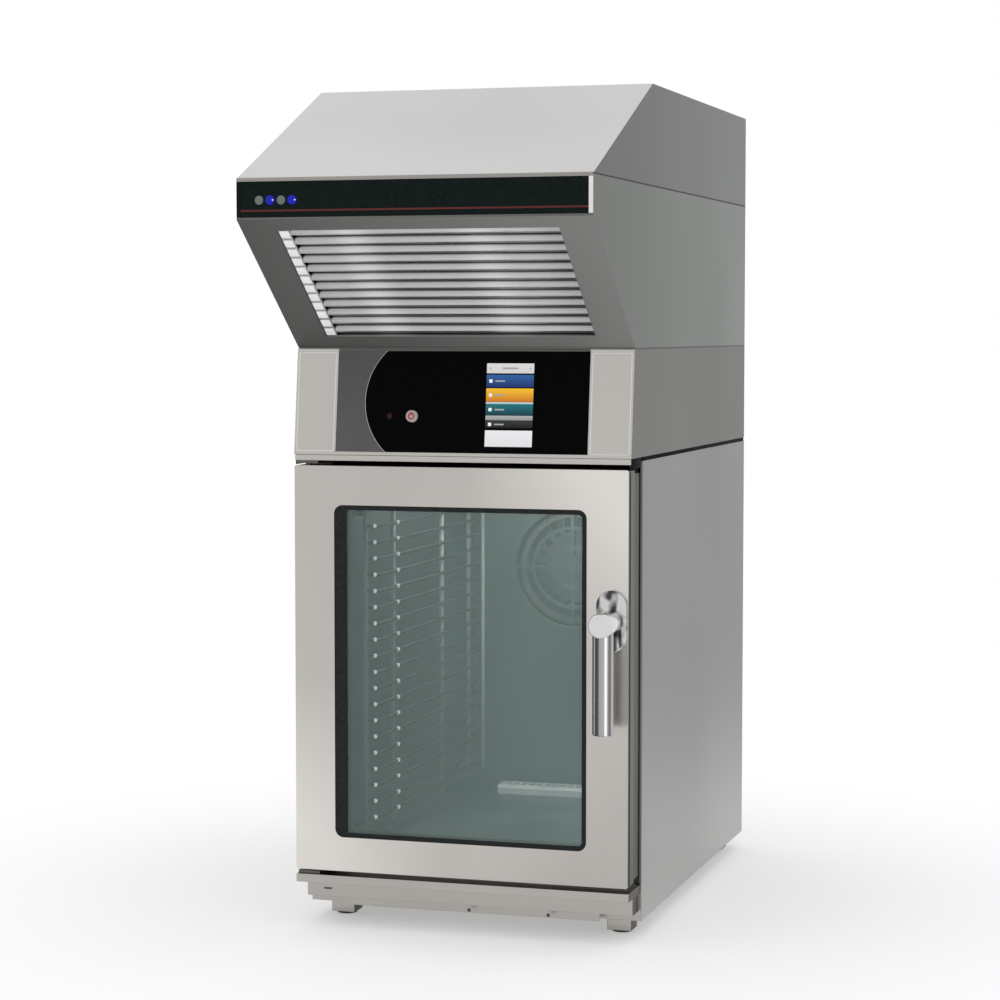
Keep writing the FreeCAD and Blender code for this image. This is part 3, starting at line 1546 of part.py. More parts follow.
def make_nose():
    """Black nose fascia with a folded rim and wings that reach the hood's sides."""
    body = new_body("hood_fascia")
    rim = 5
    wing_inset = 2
    side = half - S.nose_side_strip - S.seam
    low, high = nose_z0 + S.nose_low_lip + S.seam, nose_z1 - S.nose_high_lip - S.seam
    holes = []
    for k, (x, z) in enumerate(hood_button_spots()):
        clear = S.button_clear if k % 2 else S.lens_clear
        holes.append(circle(x, z, S.hood_button_radius + clear))
    face = rectangle((-side, side), (low, high))
    pad(body, "XZ", (nose_y, nose_y + S.nose_plate), [face] + holes)
    pad(body, "XZ", (nose_y + S.nose_plate - OVER, nose_y + S.nose_thickness), [
        face, rectangle((-side + rim, side - rim), (low + rim, high - rim))])
    wing = half - S.sheet
    wing_z = (low + wing_inset, high - wing_inset)
    pad(body, "XZ", (nose_y + S.sheet, nose_y + S.nose_thickness), [
        rectangle((side - OVER, wing), wing_z), rectangle((-wing, -side + OVER), wing_z)])
    keep("hood_fascia", body)


def make_hood_buttons():
    """Two flanged lenses and two flanged push buttons in the nose fascia."""
    flange = 2
    flange_rim = 1.2
    travel_gap = 0.3
    back = nose_y + S.nose_plate
    spots = hood_button_spots()
    lenses = []
    for x, z in (spots[0], spots[2]):
        lens = new_body("hood_lens")
        pad(lens, "XZ", (nose_y, back), [circle(x, z, S.hood_button_radius)])
        pad(lens, "XZ", (back, back + flange), [circle(x, z, S.hood_button_radius + flange_rim)])
        lenses.append(lens)
    keep("hood_lenses", group("hood_lenses", lenses))
    for name, (x, z) in (("hood_button_left", spots[1]), ("hood_button_right", spots[3])):
        button = new_body(name)
        pad(button, "XZ", (front_y, back + flange), [circle(x, z, S.hood_button_radius)])
        pad(button, "XZ", (back + travel_gap, back + flange),
            [circle(x, z, S.hood_button_radius + flange_rim)])
        keep(name, button)


def louvre_channel(middle, z, facing):
    """Half-round channel section, open towards the back (1) or the front (-1)."""
    outer = S.louvre_radius * facing
    inner = (S.louvre_radius - S.louvre_wall) * facing
    corners = [
        (middle, z + outer), (middle - outer, z), (middle, z - outer),
        (middle, z - inner), (middle - inner, z), (middle, z + inner)]
    thin = S.louvre_radius - S.louvre_wall
    return (corners, {0: (S.louvre_radius, 1), 1: (S.louvre_radius, 1), 3: (thin, -1), 4: (thin, -1)})


def make_filter():
    """Baffle filter on the slope: a rim, a slotted end strip and two rows of interlocking louvres."""
    body = new_body("baffle_filter")
    slot_left = 4
    slot_right = 3
    slot_share = 0.22
    side = half - S.filter_margin_side
    low, high = S.filter_margin_low, slope_length - S.filter_margin_high
    rim = S.filter_rim
    front, back = S.sheet, S.sheet + S.filter_depth
    pad(body, "XZ", (front, back), [
        rectangle((-side - rim, side + rim), (low - rim, high + rim)),
        rectangle((-side + OVER, side - OVER), (low + OVER, high - OVER))])
    strip = -side + S.slot_strip
    pad(body, "XZ", (front, front + S.sheet), [rectangle((-side, strip), (low, high))])
    pitch = (high - low) / S.louvre_count
    slot = pocket(body, "XZ", (front - OVER, front + S.sheet + OVER), [rectangle(
        (-side + slot_left, strip - slot_right), (low + pitch * slot_share, low + pitch * (1 - slot_share)))])
    repeat_along(body, [slot], "Z", pitch * (S.louvre_count - 1), S.louvre_count)
    outer_row = louvre_channel(front + S.louvre_radius, low + pitch / 2, 1)
    louvre = pad(body, "YZ", (strip - OVER, side), [outer_row])
    repeat_along(body, [louvre], "Z", pitch * (S.louvre_count - 1), S.louvre_count)
    inner_row = louvre_channel(back - S.louvre_radius, low + pitch, -1)
    louvre = pad(body, "YZ", (-side, side), [inner_row])
    repeat_along(body, [louvre], "Z", pitch * (S.louvre_count - 2), S.louvre_count - 1)
    on_slope(body)
    keep("baffle_filter", body)


def make_blower_wheel():
    """Blower wheel with swept blades between a back disc and a front ring, on its shaft."""
    body = new_body("blower_wheel")
    disc = 3
    ring = 2
    ring_gap = 3
    thin = 1
    sweep = 11
    tip_inset = 3
    shaft_root = 25
    depth = S.blower_depth
    radius = S.blower_radius
    heel = blower_mouth + ring_gap + OVER
    tip = radius - tip_inset
    pad(body, "XZ", (depth - disc, depth), [circle(0, 0, radius)])
    blade = pad(body, "XZ", (ring / 2, depth - ring / 2), [polygon(
        (-thin, heel), (thin, heel), (sweep + thin, tip), (sweep - thin, tip))])
    repeat_around(body, [blade], "Y", S.blower_blades)
    pad(body, "XZ", (0, ring), [circle(0, 0, radius), circle(0, 0, blower_mouth + ring_gap)])
    pad(body, "XZ", (depth - shaft_root, depth + S.blower_gap + S.shaft_grip), [circle(0, 0, S.shaft_radius)])
    shift(body, 0, blower_y + S.blower_gap, blower_z)
    keep("blower_wheel", body)


def make_blower():
    """Plate across the hood with an inlet ring, the motor behind it and the charcoal filter before it."""
    side = half - S.sheet
    floor, roof = hood_z0 + S.sheet, nose_z1
    sheet_depth = 2
    ring_depth = 14
    ring_wall = 2
    plate = new_body("blower_plate")
    pad(plate, "XZ", (blower_y, blower_y + sheet_depth), [
        rectangle((-side, side), (floor, roof)), circle(0, blower_z, blower_mouth)])
    pad(plate, "XZ", (blower_y, blower_y + ring_depth), [
        circle(0, blower_z, blower_mouth + ring_wall), circle(0, blower_z, blower_mouth)])
    keep("blower_plate", plate)

    motor_length = 90
    motor_radius = 58
    foot_half = 50
    foot_inset = 10
    foot_top = 30
    bore_depth = 20
    motor = new_body("blower_motor")
    start = blower_y + S.blower_depth + S.blower_gap * 2
    end = start + motor_length
    pad(motor, "XZ", (start, end), [circle(0, blower_z, motor_radius)])
    pad(motor, "XZ", (start + foot_inset, end - foot_inset),
        [rectangle((-foot_half, foot_half), (floor, blower_z - foot_top))])
    pocket(motor, "XZ", (start - OVER, start + bore_depth), [circle(0, blower_z, S.shaft_radius + S.fit)])
    keep("blower_motor", motor)

    carbon_depth = 90
    carbon_clear = 2
    cell_inset = 12
    cell_tall = 28
    cell_corner = 6
    cell_floor = 12
    cells = 6
    wide = side - carbon_clear
    top = roof - carbon_clear * 2
    front = blower_y - carbon_depth
    carbon = new_body("charcoal_filter")
    pad(carbon, "XZ", (front, blower_y), [rectangle((-wide, wide), (floor, top))])
    cell = pocket(carbon, "XZ", (front - OVER, blower_y - cell_floor), [rounded(
        (-wide + cell_inset, wide - cell_inset),
        (floor + cell_inset, floor + cell_inset + cell_tall), cell_corner)])
    repeat_along(carbon, [cell], "Z", top - floor - cell_inset * 2 - cell_tall, cells)
    pocket(carbon, "XZ", (blower_y - cell_floor - OVER, blower_y + OVER), [circle(0, blower_z, blower_mouth)])
    keep("charcoal_filter", carbon)


def build():
    """Make every piece."""
    make_feet()
    make_base_pan()
    make_plinth()
    make_drip_tray()
    make_side_panels()
    make_back_panel()
    make_top_deck()
    make_front_frame()
    make_liner()
    make_insulation()
    make_gasket()
    make_racks()
    make_baffle()
    make_fan_wheel()
    make_fan_motor()
    make_heater()
    make_injector()
    make_strainer()
    make_drain()
    make_valves()
    make_gland()
    make_vent()
    make_lamp()
    make_sensor()
    make_door_skin()
    make_door_liner()
    make_panes()
    make_hinges()
    make_rosette()
    make_lever()
    make_latch()
    make_keeper()
    make_housing()
    make_housing_rail()
    make_fascia()
    make_display()
    make_control_buttons()
    make_board()
    make_contactor()
    make_hood_body()
    make_hood_cap()
    make_nose()
    make_hood_buttons()
    make_filter()
    make_blower_wheel()
    make_blower()


def check():
    """Stop if any object failed or any piece is empty or faulty."""
    doc.recompute()
    failed = [item.Name for item in doc.Objects if "Invalid" in item.State or "Error" in item.State]
    if failed:
        raise RuntimeError("failed: " + ", ".join(failed))
    for name, solid in parts.items():
        if solid.Shape.isNull() or not solid.Shape.isValid() or not solid.Shape.Solids:
            raise RuntimeError("faulty shape: " + name)


def write():
    """Write one file for each piece."""
    os.makedirs("parts", exist_ok=True)
    for name, solid in parts.items():
        solid.Shape.exportStep(f"parts/{name}.step")


build()
check()
write()
print(len(parts), "pieces")
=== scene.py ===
# %% [markdown]
# # A slim combi oven with a ventless hood
# The measured solids of the oven come in first and stay where they are. This lesson gives every one
# of them a finish, and adds the pieces that are too fine for the solids: bent wire racks, the lit
# screen, turned buttons, screws, trims and plates. All lengths are metres and +Z is up.

# %% Load the measured solids
import math

import bmesh
import bpy
from mathutils import Matrix, Vector


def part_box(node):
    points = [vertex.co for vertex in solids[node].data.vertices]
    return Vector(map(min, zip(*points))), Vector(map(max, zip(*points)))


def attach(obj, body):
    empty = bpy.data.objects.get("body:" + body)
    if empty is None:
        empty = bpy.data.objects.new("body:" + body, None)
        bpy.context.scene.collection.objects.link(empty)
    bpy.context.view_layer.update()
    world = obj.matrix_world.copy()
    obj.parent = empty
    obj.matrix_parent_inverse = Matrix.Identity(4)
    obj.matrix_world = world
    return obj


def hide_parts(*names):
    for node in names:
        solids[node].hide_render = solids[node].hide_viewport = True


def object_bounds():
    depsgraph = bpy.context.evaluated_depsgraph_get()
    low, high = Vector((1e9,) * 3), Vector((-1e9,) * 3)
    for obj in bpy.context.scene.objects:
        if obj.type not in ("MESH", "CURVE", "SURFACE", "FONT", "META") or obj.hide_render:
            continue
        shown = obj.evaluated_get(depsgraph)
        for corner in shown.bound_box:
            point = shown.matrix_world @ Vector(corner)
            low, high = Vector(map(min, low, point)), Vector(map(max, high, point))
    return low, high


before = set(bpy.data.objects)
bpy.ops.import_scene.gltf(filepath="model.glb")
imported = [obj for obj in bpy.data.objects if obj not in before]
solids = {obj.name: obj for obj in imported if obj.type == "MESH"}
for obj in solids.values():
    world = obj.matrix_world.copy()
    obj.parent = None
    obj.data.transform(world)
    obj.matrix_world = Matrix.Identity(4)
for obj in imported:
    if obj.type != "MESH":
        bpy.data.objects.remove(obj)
measured_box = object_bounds()
scene = bpy.context.scene
MM = 0.001

# %% [markdown]
# ## The camera
# The picture was taken from the right, a little above the control panel, with a long lens. Matching
# the corners of the door and the cabinet gives the place and the turn of the camera. The lens is
# given in millimetres for a sensor 36 mm wide, so the focal length in pixels is simply scaled.

# %% Camera
FOCAL_PIXELS = 2620.0
PICTURE_PIXELS = 1000.0
SENSOR_WIDTH = 36.0
CAMERA_PLACE = (1.1632, -3.9273, 0.8925)
CAMERA_DIP = 0.065
CAMERA_TURN = 0.295
camera_data = bpy.data.cameras.new("camera")
camera_data.sensor_width = SENSOR_WIDTH
camera_data.lens = FOCAL_PIXELS / PICTURE_PIXELS * SENSOR_WIDTH
camera = bpy.data.objects.new("camera", camera_data)
camera.location = CAMERA_PLACE
camera.rotation_euler = (math.pi / 2 - CAMERA_DIP, 0.0, CAMERA_TURN)
scene.collection.objects.link(camera)
scene.camera = camera
print("lens", round(camera_data.lens, 1), "mm")

# %% [markdown]
# ## Helpers for node trees
# A finish is a small network of nodes round one shader. These helpers start a material, add a node with
# its settings, and link two sockets.


# %% Node helpers
def start_finish(name):
    """A new material with its shader."""
    finish = bpy.data.materials.new(name)
    finish.use_nodes = True
    return finish, finish.node_tree.nodes["Principled BSDF"]


def add_node(owner, kind, **settings):
    """A node with its settings, in the tree of a material or of the world."""
    node = owner.node_tree.nodes.new(kind)
    for key, value in settings.items():
        setattr(node, key, value)
    return node


def join(owner, output, target):
    """Link two sockets."""
    owner.node_tree.links.new(output, target)


print("node helpers ready")

# %% [markdown]
# ## Noise and ranges
# A noise drives the colour, the gloss and the relief of a finish. Object coordinates are metres on the
# part itself, so a pattern keeps its true size and stays on the part from every side. Most of a noise lies
# in a narrow middle range, and that range is spread over the values or the colours that a finish needs.

# %% Noise and ranges
NOISE_LOW, NOISE_HIGH = 0.3, 0.7


def noise_on(finish, scale, detail=3.0):
    """Noise on Object coordinates, with its own scale along each axis."""
    where = add_node(finish, "ShaderNodeTexCoord")
    stretch = add_node(finish, "ShaderNodeMapping")
    stretch.inputs["Scale"].default_value = scale
    noise = add_node(finish, "ShaderNodeTexNoise")
    noise.inputs["Scale"].default_value = 1.0
    noise.inputs["Detail"].default_value = detail
    join(finish, where.outputs["Object"], stretch.inputs["Vector"])
    join(finish, stretch.outputs["Vector"], noise.inputs["Vector"])
    return noise.outputs["Fac"]


def spread(owner, value, from_low, from_high, to_low=0.0, to_high=1.0):
    """A value taken from one range to another."""
    node = add_node(owner, "ShaderNodeMapRange")
    node.inputs["From Min"].default_value = from_low
    node.inputs["From Max"].default_value = from_high
    node.inputs["To Min"].default_value = to_low
    node.inputs["To Max"].default_value = to_high
    join(owner, value, node.inputs["Value"])
    return node.outputs["Result"]


def ranged(finish, noise, low, high):
    """The useful part of a noise spread over a new range."""
    return spread(finish, noise, NOISE_LOW, NOISE_HIGH, low, high)


def tinted(finish, value, dark, light, start=NOISE_LOW, end=NOISE_HIGH):
    """A colour between two colours."""
    ramp = add_node(finish, "ShaderNodeValToRGB")
    ramp.color_ramp.elements[0].position = start
    ramp.color_ramp.elements[1].position = end
    ramp.color_ramp.elements[0].color = (*dark, 1.0)
    ramp.color_ramp.elements[1].color = (*light, 1.0)
    join(finish, value, ramp.inputs["Fac"])
    return ramp.outputs["Color"]


print("noise helpers ready, useful from", NOISE_LOW, "to", NOISE_HIGH)

# %% [markdown]
# ## Colour, gloss and relief
# Most finishes repeat three steps: their relief, their colour and their gloss follow a noise. Each step is
# a helper here, with a small one for lighter and darker shades.

# %% Colour, gloss and relief
RELIEF_STRENGTH = 0.6


def relief(finish, shader, value, height):
    """A fine relief from a value, with its height in metres."""
    bump = add_node(finish, "ShaderNodeBump")
    bump.inputs["Strength"].default_value = RELIEF_STRENGTH
    bump.inputs["Distance"].default_value = height
    join(finish, value, bump.inputs["Height"])
    join(finish, bump.outputs["Normal"], shader.inputs["Normal"])
    return bump


def shade(colour, factor):
    """A colour made lighter or darker."""
    return tuple(min(1.0, channel * factor) for channel in colour)


def evenly(scale):
    """The same scale along each axis."""
    return (scale, scale, scale)


def vary_colour(finish, shader, noise, colour, darker, lighter):
    """Let the base colour follow a noise between two shades of one colour."""
    tone = tinted(finish, noise, shade(colour, darker), shade(colour, lighter))
    join(finish, tone, shader.inputs["Base Color"])


def vary_gloss(finish, shader, noise, low, high):
    """Let the roughness follow a noise between two values."""
    join(finish, ranged(finish, noise, low, high), shader.inputs["Roughness"])


print("finish helpers ready")

# %% [markdown]
# ## Helpers for place and direction
# Steel looks different on each side of a machine, because every side mirrors another part of the room. To
# keep that under other light, a finish may paint it into its tone as painted shade and painted reflection,
# along an axis of the part, or by the way a face looks. Both are read on the part itself, so they move with
# it.

# %% Place and direction
FULL_SHARE = 0.4


def along(finish, axis, low, high, to_low=0.0, to_high=1.0):
    """A value that runs between two places along an axis of the part."""
    where = add_node(finish, "ShaderNodeTexCoord")
    split = add_node(finish, "ShaderNodeSeparateXYZ")
    join(finish, where.outputs["Object"], split.inputs["Vector"])
    return spread(finish, split.outputs[axis], low, high, to_low, to_high)


def calculated(finish, operation, first, second=None):
    """The result of a calculation with one or two values."""
    node = add_node(finish, "ShaderNodeMath", operation=operation)
    join(finish, first, node.inputs[0])
    if second is not None:
        join(finish, second, node.inputs[1])
    return node.outputs["Value"]


def looks_along(finish, direction, low, high, both_ways=False):
    """Zero to one as a face of the part turns towards a direction."""
    where = add_node(finish, "ShaderNodeTexCoord")
    turn = add_node(finish, "ShaderNodeVectorMath", operation="DOT_PRODUCT")
    turn.inputs[1].default_value = direction
    join(finish, where.outputs["Normal"], turn.inputs[0])
    value = turn.outputs["Value"]
    if both_ways:
        value = calculated(finish, "ABSOLUTE", value)
    return spread(finish, value, low, high)


def near_height(finish, height, reach):
    """One close to a height on the part, fading to zero at a reach above and below it."""
    offset = along(finish, "Z", height - 1.0, height + 1.0, -1.0, 1.0)
    return spread(finish, calculated(finish, "ABSOLUTE", offset), reach, reach * FULL_SHARE)


def blend(finish, share, first, second):
    """One colour passing into another by a share from 0 to 1."""
    mix = add_node(finish, "ShaderNodeMix", data_type="RGBA")
    join(finish, share, mix.inputs["Factor"])
    join(finish, first, mix.inputs["A"])
    join(finish, second, mix.inputs["B"])
    return mix.outputs["Result"]


def multiplied(finish, first, second):
    """One colour times another."""
    mix = add_node(finish, "ShaderNodeMix", data_type="RGBA", blend_type="MULTIPLY")
    mix.inputs["Factor"].default_value = 1.0
    join(finish, first, mix.inputs["A"])
    join(finish, second, mix.inputs["B"])
    return mix.outputs["Result"]


print("place helpers ready")

# %% [markdown]
# ## Brushed stainless steel
# Sheet steel for kitchens is ground with a belt, which leaves fine scratches in one direction. A noise that
# is stretched about a hundred times along the grain gives those scratches. It changes the gloss only a
# little, because the eye mostly sees the soft, drawn-out reflection. Large soft clouds stand for the uneven
# polish of a big sheet. A finish may paint other tones, as painted shade and painted reflection, on faces
# that look forward, sideways or down, and name a height where two sheets meet in a dark seam. A face that
# looks down is dull, as blasted steel is, and not a mirror. A bevel node rounds the normal at the folds.

# %% Brushed steel
ALONG, ACROSS = 14.0, 1800.0
GRAIN_SCALES = {"X": (ALONG, ACROSS, ACROSS), "Y": (ACROSS, ALONG, ACROSS), "Z": (ACROSS, ACROSS, ALONG)}
CLOUD_SCALE = (2.6, 2.6, 1.7)
CLOUD = 0.05
CORNER_LIGHT, CORNER_DARK = 1.42, 0.90
EDGE_TINT = (0.65, 0.65, 0.65, 1.0)
SCRATCH_DEPTH = 0.003 * MM
SCRATCH_SMOOTH, SCRATCH_ROUGH = 0.01, 0.03
DRAWN_OUT = 0.35
FOLD_RADIUS = 0.8 * MM
FOLD_SAMPLES = 4
SEAM_REACH = 1.6 * MM
SEAM_TONE = (0.045, 0.046, 0.045)
FORWARD, SIDEWAYS, DOWN = (0, -1, 0), (1, 0, 0), (0, 0, -1)
FORWARD_TURN, SIDEWAYS_TURN, DOWN_TURN = (0.75, 0.95), (0.45, 0.85), (0.3, 0.6)


def brushed_steel(name, colour, roughness, grain, side=None, under=None, corners=None, seam=None,
                  nose=None):
    """Ground steel with painted shade and reflection. Side and under are the painted tones for faces that
    look sideways or down: (first colour, second colour, axis, from, to, maybe squared).
    """
    finish, shader = start_finish(name)
    scratches = noise_on(finish, GRAIN_SCALES[grain], detail=2.0)
    clouds = noise_on(finish, CLOUD_SCALE, detail=1.0)

    def clouded(tone):
        """A tone that varies with the clouds."""
        return tinted(finish, clouds, shade(tone, 1.0 - CLOUD), shade(tone, 1.0 + CLOUD))

    def graded(first, second, axis, low, high, squared=False):
        """A tone that passes into another along an axis."""
        share = along(finish, axis, low, high)
        if squared:
            share = calculated(finish, "MULTIPLY", share, share)
        return blend(finish, share, clouded(first), clouded(second))

    tone = clouded(colour)
    # Painted reflection and painted shade: lighter and darker corners.
    if corners:
        lighter, darker = corners(finish)
        tone = blend(finish, lighter, tone, clouded(shade(colour, CORNER_LIGHT)))
        tone = blend(finish, darker, tone, clouded(shade(colour, CORNER_DARK)))
    # Painted shade: faces that look forward take the darker nose tone.
    if nose:
        looks_forward = looks_along(finish, FORWARD, *FORWARD_TURN)
        tone = blend(finish, looks_forward, tone, clouded(nose))
    # Painted shade and reflection: faces that look sideways take the side tones.
    if side:
        looks_sideways = looks_along(finish, SIDEWAYS, *SIDEWAYS_TURN, both_ways=True)
        tone = blend(finish, looks_sideways, tone, graded(*side))
    # Painted shade: faces that look down take the under tones, which run along an axis.
    if under:
        looks_down = looks_along(finish, DOWN, *DOWN_TURN)
        tone = blend(finish, looks_down, tone, graded(*under))
        join(finish, spread(finish, looks_down, 0.0, 1.0, 1.0, 0.0), shader.inputs["Metallic"])
    if seam:
        tone = blend(finish, near_height(finish, seam, SEAM_REACH), tone, clouded(SEAM_TONE))
    join(finish, tone, shader.inputs["Base Color"])
    vary_gloss(finish, shader, scratches, roughness - SCRATCH_SMOOTH, roughness + SCRATCH_ROUGH)
    shader.inputs["Metallic"].default_value = 1.0
    shader.inputs["Specular Tint"].default_value = EDGE_TINT
    shader.inputs["Anisotropic"].default_value = DRAWN_OUT
    bump = relief(finish, shader, scratches, SCRATCH_DEPTH)
    edge = add_node(finish, "ShaderNodeBevel", samples=FOLD_SAMPLES)
    edge.inputs["Radius"].default_value = FOLD_RADIUS
    join(finish, edge.outputs["Normal"], bump.inputs["Normal"])
    return finish


print("scratches every", round(1000.0 / ACROSS, 2), "mm")

# %% [markdown]
# ## The steels of this oven
# The door is the largest bright sheet: a painted reflection makes it lighter towards its upper right and
# lower left corners, as a big sheet is when it mirrors a bright room at a slant, and painted shade makes it a
# little darker at the lower right. Products of two runs, one across and one up, give those corners. The sides
# are painted darker than the front, as painted shade, and painted lighter towards the floor or the back, as
# painted reflection.

# %% Steel tones
skin_low, skin_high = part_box("door_skin")
cap_low, cap_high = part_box("hood_cap")
body_low, body_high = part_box("hood_body")
panel_low, panel_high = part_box("right_side_panel")
door_middle = (skin_low + skin_high) / 2
LIGHT_CORNER, DARK_CORNER = (0.05, 0.75), (0.1, 0.6)


def painted_door_corners(finish):
    """Shares of the door's two corners of painted reflection and of its corner of painted shade."""
    across = along(finish, "X", skin_low.x, skin_high.x, -1.0, 1.0)
    up = along(finish, "Z", skin_low.z, skin_high.z, -1.0, 1.0)
    saddle = calculated(finish, "MULTIPLY", across, up)
    right = along(finish, "X", door_middle.x, skin_high.x)
    down = along(finish, "Z", door_middle.z, skin_low.z)
    lower_right = calculated(finish, "MULTIPLY", right, down)
    return spread(finish, saddle, *LIGHT_CORNER), spread(finish, lower_right, *DARK_CORNER)


WARM_FRONT = (0.505, 0.482, 0.458)
# Painted shade and reflection: tones of faces that look sideways or down, lighter near the floor or towards
# the back.
DOOR_SIDE = ((0.150, 0.149, 0.140), (0.150, 0.149, 0.140), "Z", skin_low.z, skin_high.z)
PANEL_SHADE_Z, PANEL_FLOOR_LIGHT_Z = 0.40, 0.04
PANEL_SIDE = ((0.338, 0.342, 0.338), (0.62, 0.62, 0.61), "Z", PANEL_SHADE_Z, PANEL_FLOOR_LIGHT_Z, True)
HOOD_SIDE = ((0.232, 0.242, 0.231), (0.325, 0.338, 0.325), "Y", body_low.y, body_high.y)
CAP_SIDE = ((0.180, 0.188, 0.180), (0.270, 0.281, 0.270), "Y", cap_low.y, cap_high.y)
CONTROL_SIDE = ((0.215, 0.219, 0.205), (0.215, 0.219, 0.205), "Y", panel_low.y, panel_high.y)
HOOD_UNDER = ((0.060, 0.060, 0.057), (0.21, 0.21, 0.203), "X", body_low.x, body_high.x)
# Painted shade: the darker tone of the hood shell's faces that look forward.
NOSE_LIP = (0.14, 0.14, 0.135)
BASE_SIDE = ((0.16, 0.155, 0.146), (0.16, 0.155, 0.146), "Y", panel_low.y, panel_high.y)
door_steel = brushed_steel("door_steel", WARM_FRONT, 0.24, "Z", DOOR_SIDE, corners=painted_door_corners)
panel_steel = brushed_steel("panel_steel", (0.43, 0.435, 0.43), 0.30, "Z", PANEL_SIDE)
control_steel = brushed_steel("control_steel", WARM_FRONT, 0.30, "Z", CONTROL_SIDE)
hood_steel = brushed_steel("hood_steel", (0.70, 0.70, 0.695), 0.34, "X", CAP_SIDE, seam=cap_low.z)
hood_shell_steel = brushed_steel("hood_shell_steel", (0.46, 0.462, 0.458), 0.46, "X", HOOD_SIDE, HOOD_UNDER,
                                 seam=cap_low.z, nose=NOSE_LIP)
base_steel = brushed_steel("base_steel", (0.44, 0.422, 0.397), 0.32, "X", BASE_SIDE)
trim_steel = brushed_steel("trim_steel", (0.74, 0.73, 0.71), 0.24, "Z")
# Painted shade: the hem's steel is darker than the cap's.
hem_steel = brushed_steel("hem_steel", (0.30, 0.285, 0.27), 0.30, "X")
oven_steel = brushed_steel("oven_steel", (0.27, 0.325, 0.312), 0.36, "Z")
pipe_steel = brushed_steel("pipe_steel", (0.45, 0.45, 0.445), 0.30, "Y")
dark_steel = brushed_steel("dark_steel", (0.12, 0.118, 0.112), 0.40, "Z")
joint_steel = brushed_steel("joint_steel", (0.175, 0.180, 0.172), 0.40, "Y")
print("door corners are lighter by", CORNER_LIGHT)

# %% [markdown]
# ## The filter's steel, with painted reflection and shade
# The grease filter is rolled from thin bright sheet. Two brighter lanes across all the louvres are a painted
# reflection, and a ramp along X gives those lanes. Each louvre is painted bright on its crown and dark
# towards its edges, as painted shade, from how far a face turns away from the slope.

# %% Steel with painted lanes
PAINTED_LANE_TONES = [(0.0, 0.40), (0.16, 0.50), (0.26, 0.66), (0.37, 0.50),
              (0.58, 0.52), (0.70, 0.66), (0.82, 0.54), (1.0, 0.42)]
SLOPE_TURN = math.radians(52.7)
SLOPE_OUT = (0.0, -math.cos(SLOPE_TURN), -math.sin(SLOPE_TURN))
CROWN_TURN = (0.1, 0.95)
EDGE_SHADE = (0.55, 0.55, 0.55)
CROWN_LIGHT = (1.0, 1.0, 1.0)
PATCH_SMOOTH, PATCH_ROUGH = 0.03, 0.05


def grey(tone):
    """A grey with full cover."""
    return (tone, tone, tone, 1.0)


def bands_along_x(finish, low, high, tones):
    """Grey bands between two X positions, each tone at its share of the way."""
    ramp = add_node(finish, "ShaderNodeValToRGB")
    ramp.color_ramp.interpolation = "EASE"
    stops = ramp.color_ramp.elements
    for place, tone in tones[1:-1]:
        stops.new(place).color = grey(tone)
    stops[0].color = grey(tones[0][1])
    stops[-1].color = grey(tones[-1][1])
    join(finish, along(finish, "X", low, high), ramp.inputs["Fac"])
    return ramp.outputs["Color"]


def banded_steel(name, low, high, tones, roughness, grain, crown=None):
    """Bright steel with painted lanes of reflection along X, and painted shade where it turns from the crown.
    """
    finish, shader = start_finish(name)
    tone = bands_along_x(finish, low, high, tones)
    if crown:
        turned_up = looks_along(finish, crown, *CROWN_TURN)
        tone = multiplied(finish, tone, tinted(finish, turned_up, EDGE_SHADE, CROWN_LIGHT, 0.0, 1.0))
    join(finish, tone, shader.inputs["Base Color"])
    scratches = noise_on(finish, GRAIN_SCALES[grain], detail=2.0)
    vary_gloss(finish, shader, scratches, roughness - PATCH_SMOOTH, roughness + PATCH_ROUGH)
    shader.inputs["Metallic"].default_value = 1.0
    relief(finish, shader, scratches, SCRATCH_DEPTH)
    return finish


filter_low, filter_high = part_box("baffle_filter")
filter_steel = banded_steel("filter_steel", filter_low.x, filter_high.x, PAINTED_LANE_TONES, 0.26, "X", SLOPE_OUT)
print("filter lanes:", len(PAINTED_LANE_TONES))

# %% [markdown]
# ## Polished metal, cast metal and brass
# The door lever and its rosette are polished, so they mirror the room in long streaks. Those streaks are
# painted reflection: bands along the grip and blotches on the rosette keep them in any light. Turned brass
# shows tool marks round its axis, and cast aluminium has a grainy skin.

# %% Bright metals
PAINTED_STREAK_TONES = [(0.0, 0.50), (0.20, 0.45), (0.235, 0.06), (0.40, 0.08), (0.45, 0.34), (0.68, 0.42),
                (0.72, 0.95), (0.80, 0.95), (0.83, 0.34), (0.87, 0.24), (0.93, 0.12), (0.96, 0.40),
                (1.0, 0.40)]
STREAK_EDGE = (0.40, 0.56)
MIRROR_GLOSS = (0.06, 0.12)
WIPE_TONES = (0.96, 1.03)
WIPE_DEPTH = 0.02 * MM
GRIP_INSET = 3 * MM
lever_low, lever_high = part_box("door_lever")


def bright_metal(name, colour, roughness, mark_scale, marks):
    """Metal whose gloss varies a little."""
    finish, shader = start_finish(name)
    wipes = noise_on(finish, mark_scale, detail=3.0)
    vary_colour(finish, shader, wipes, colour, *WIPE_TONES)
    vary_gloss(finish, shader, wipes, roughness, roughness + marks)
    shader.inputs["Metallic"].default_value = 1.0
    relief(finish, shader, wipes, WIPE_DEPTH)
    return finish


def reflection_streaked_metal(name, dark, light, streak_scale):
    """Mirror-polished metal with dark and light streaks of painted reflection."""
    finish, shader = start_finish(name)
    streaks = noise_on(finish, streak_scale, detail=1.0)
    join(finish, tinted(finish, streaks, dark, light, *STREAK_EDGE), shader.inputs["Base Color"])
    vary_gloss(finish, shader, streaks, *MIRROR_GLOSS)
    shader.inputs["Metallic"].default_value = 1.0
    return finish
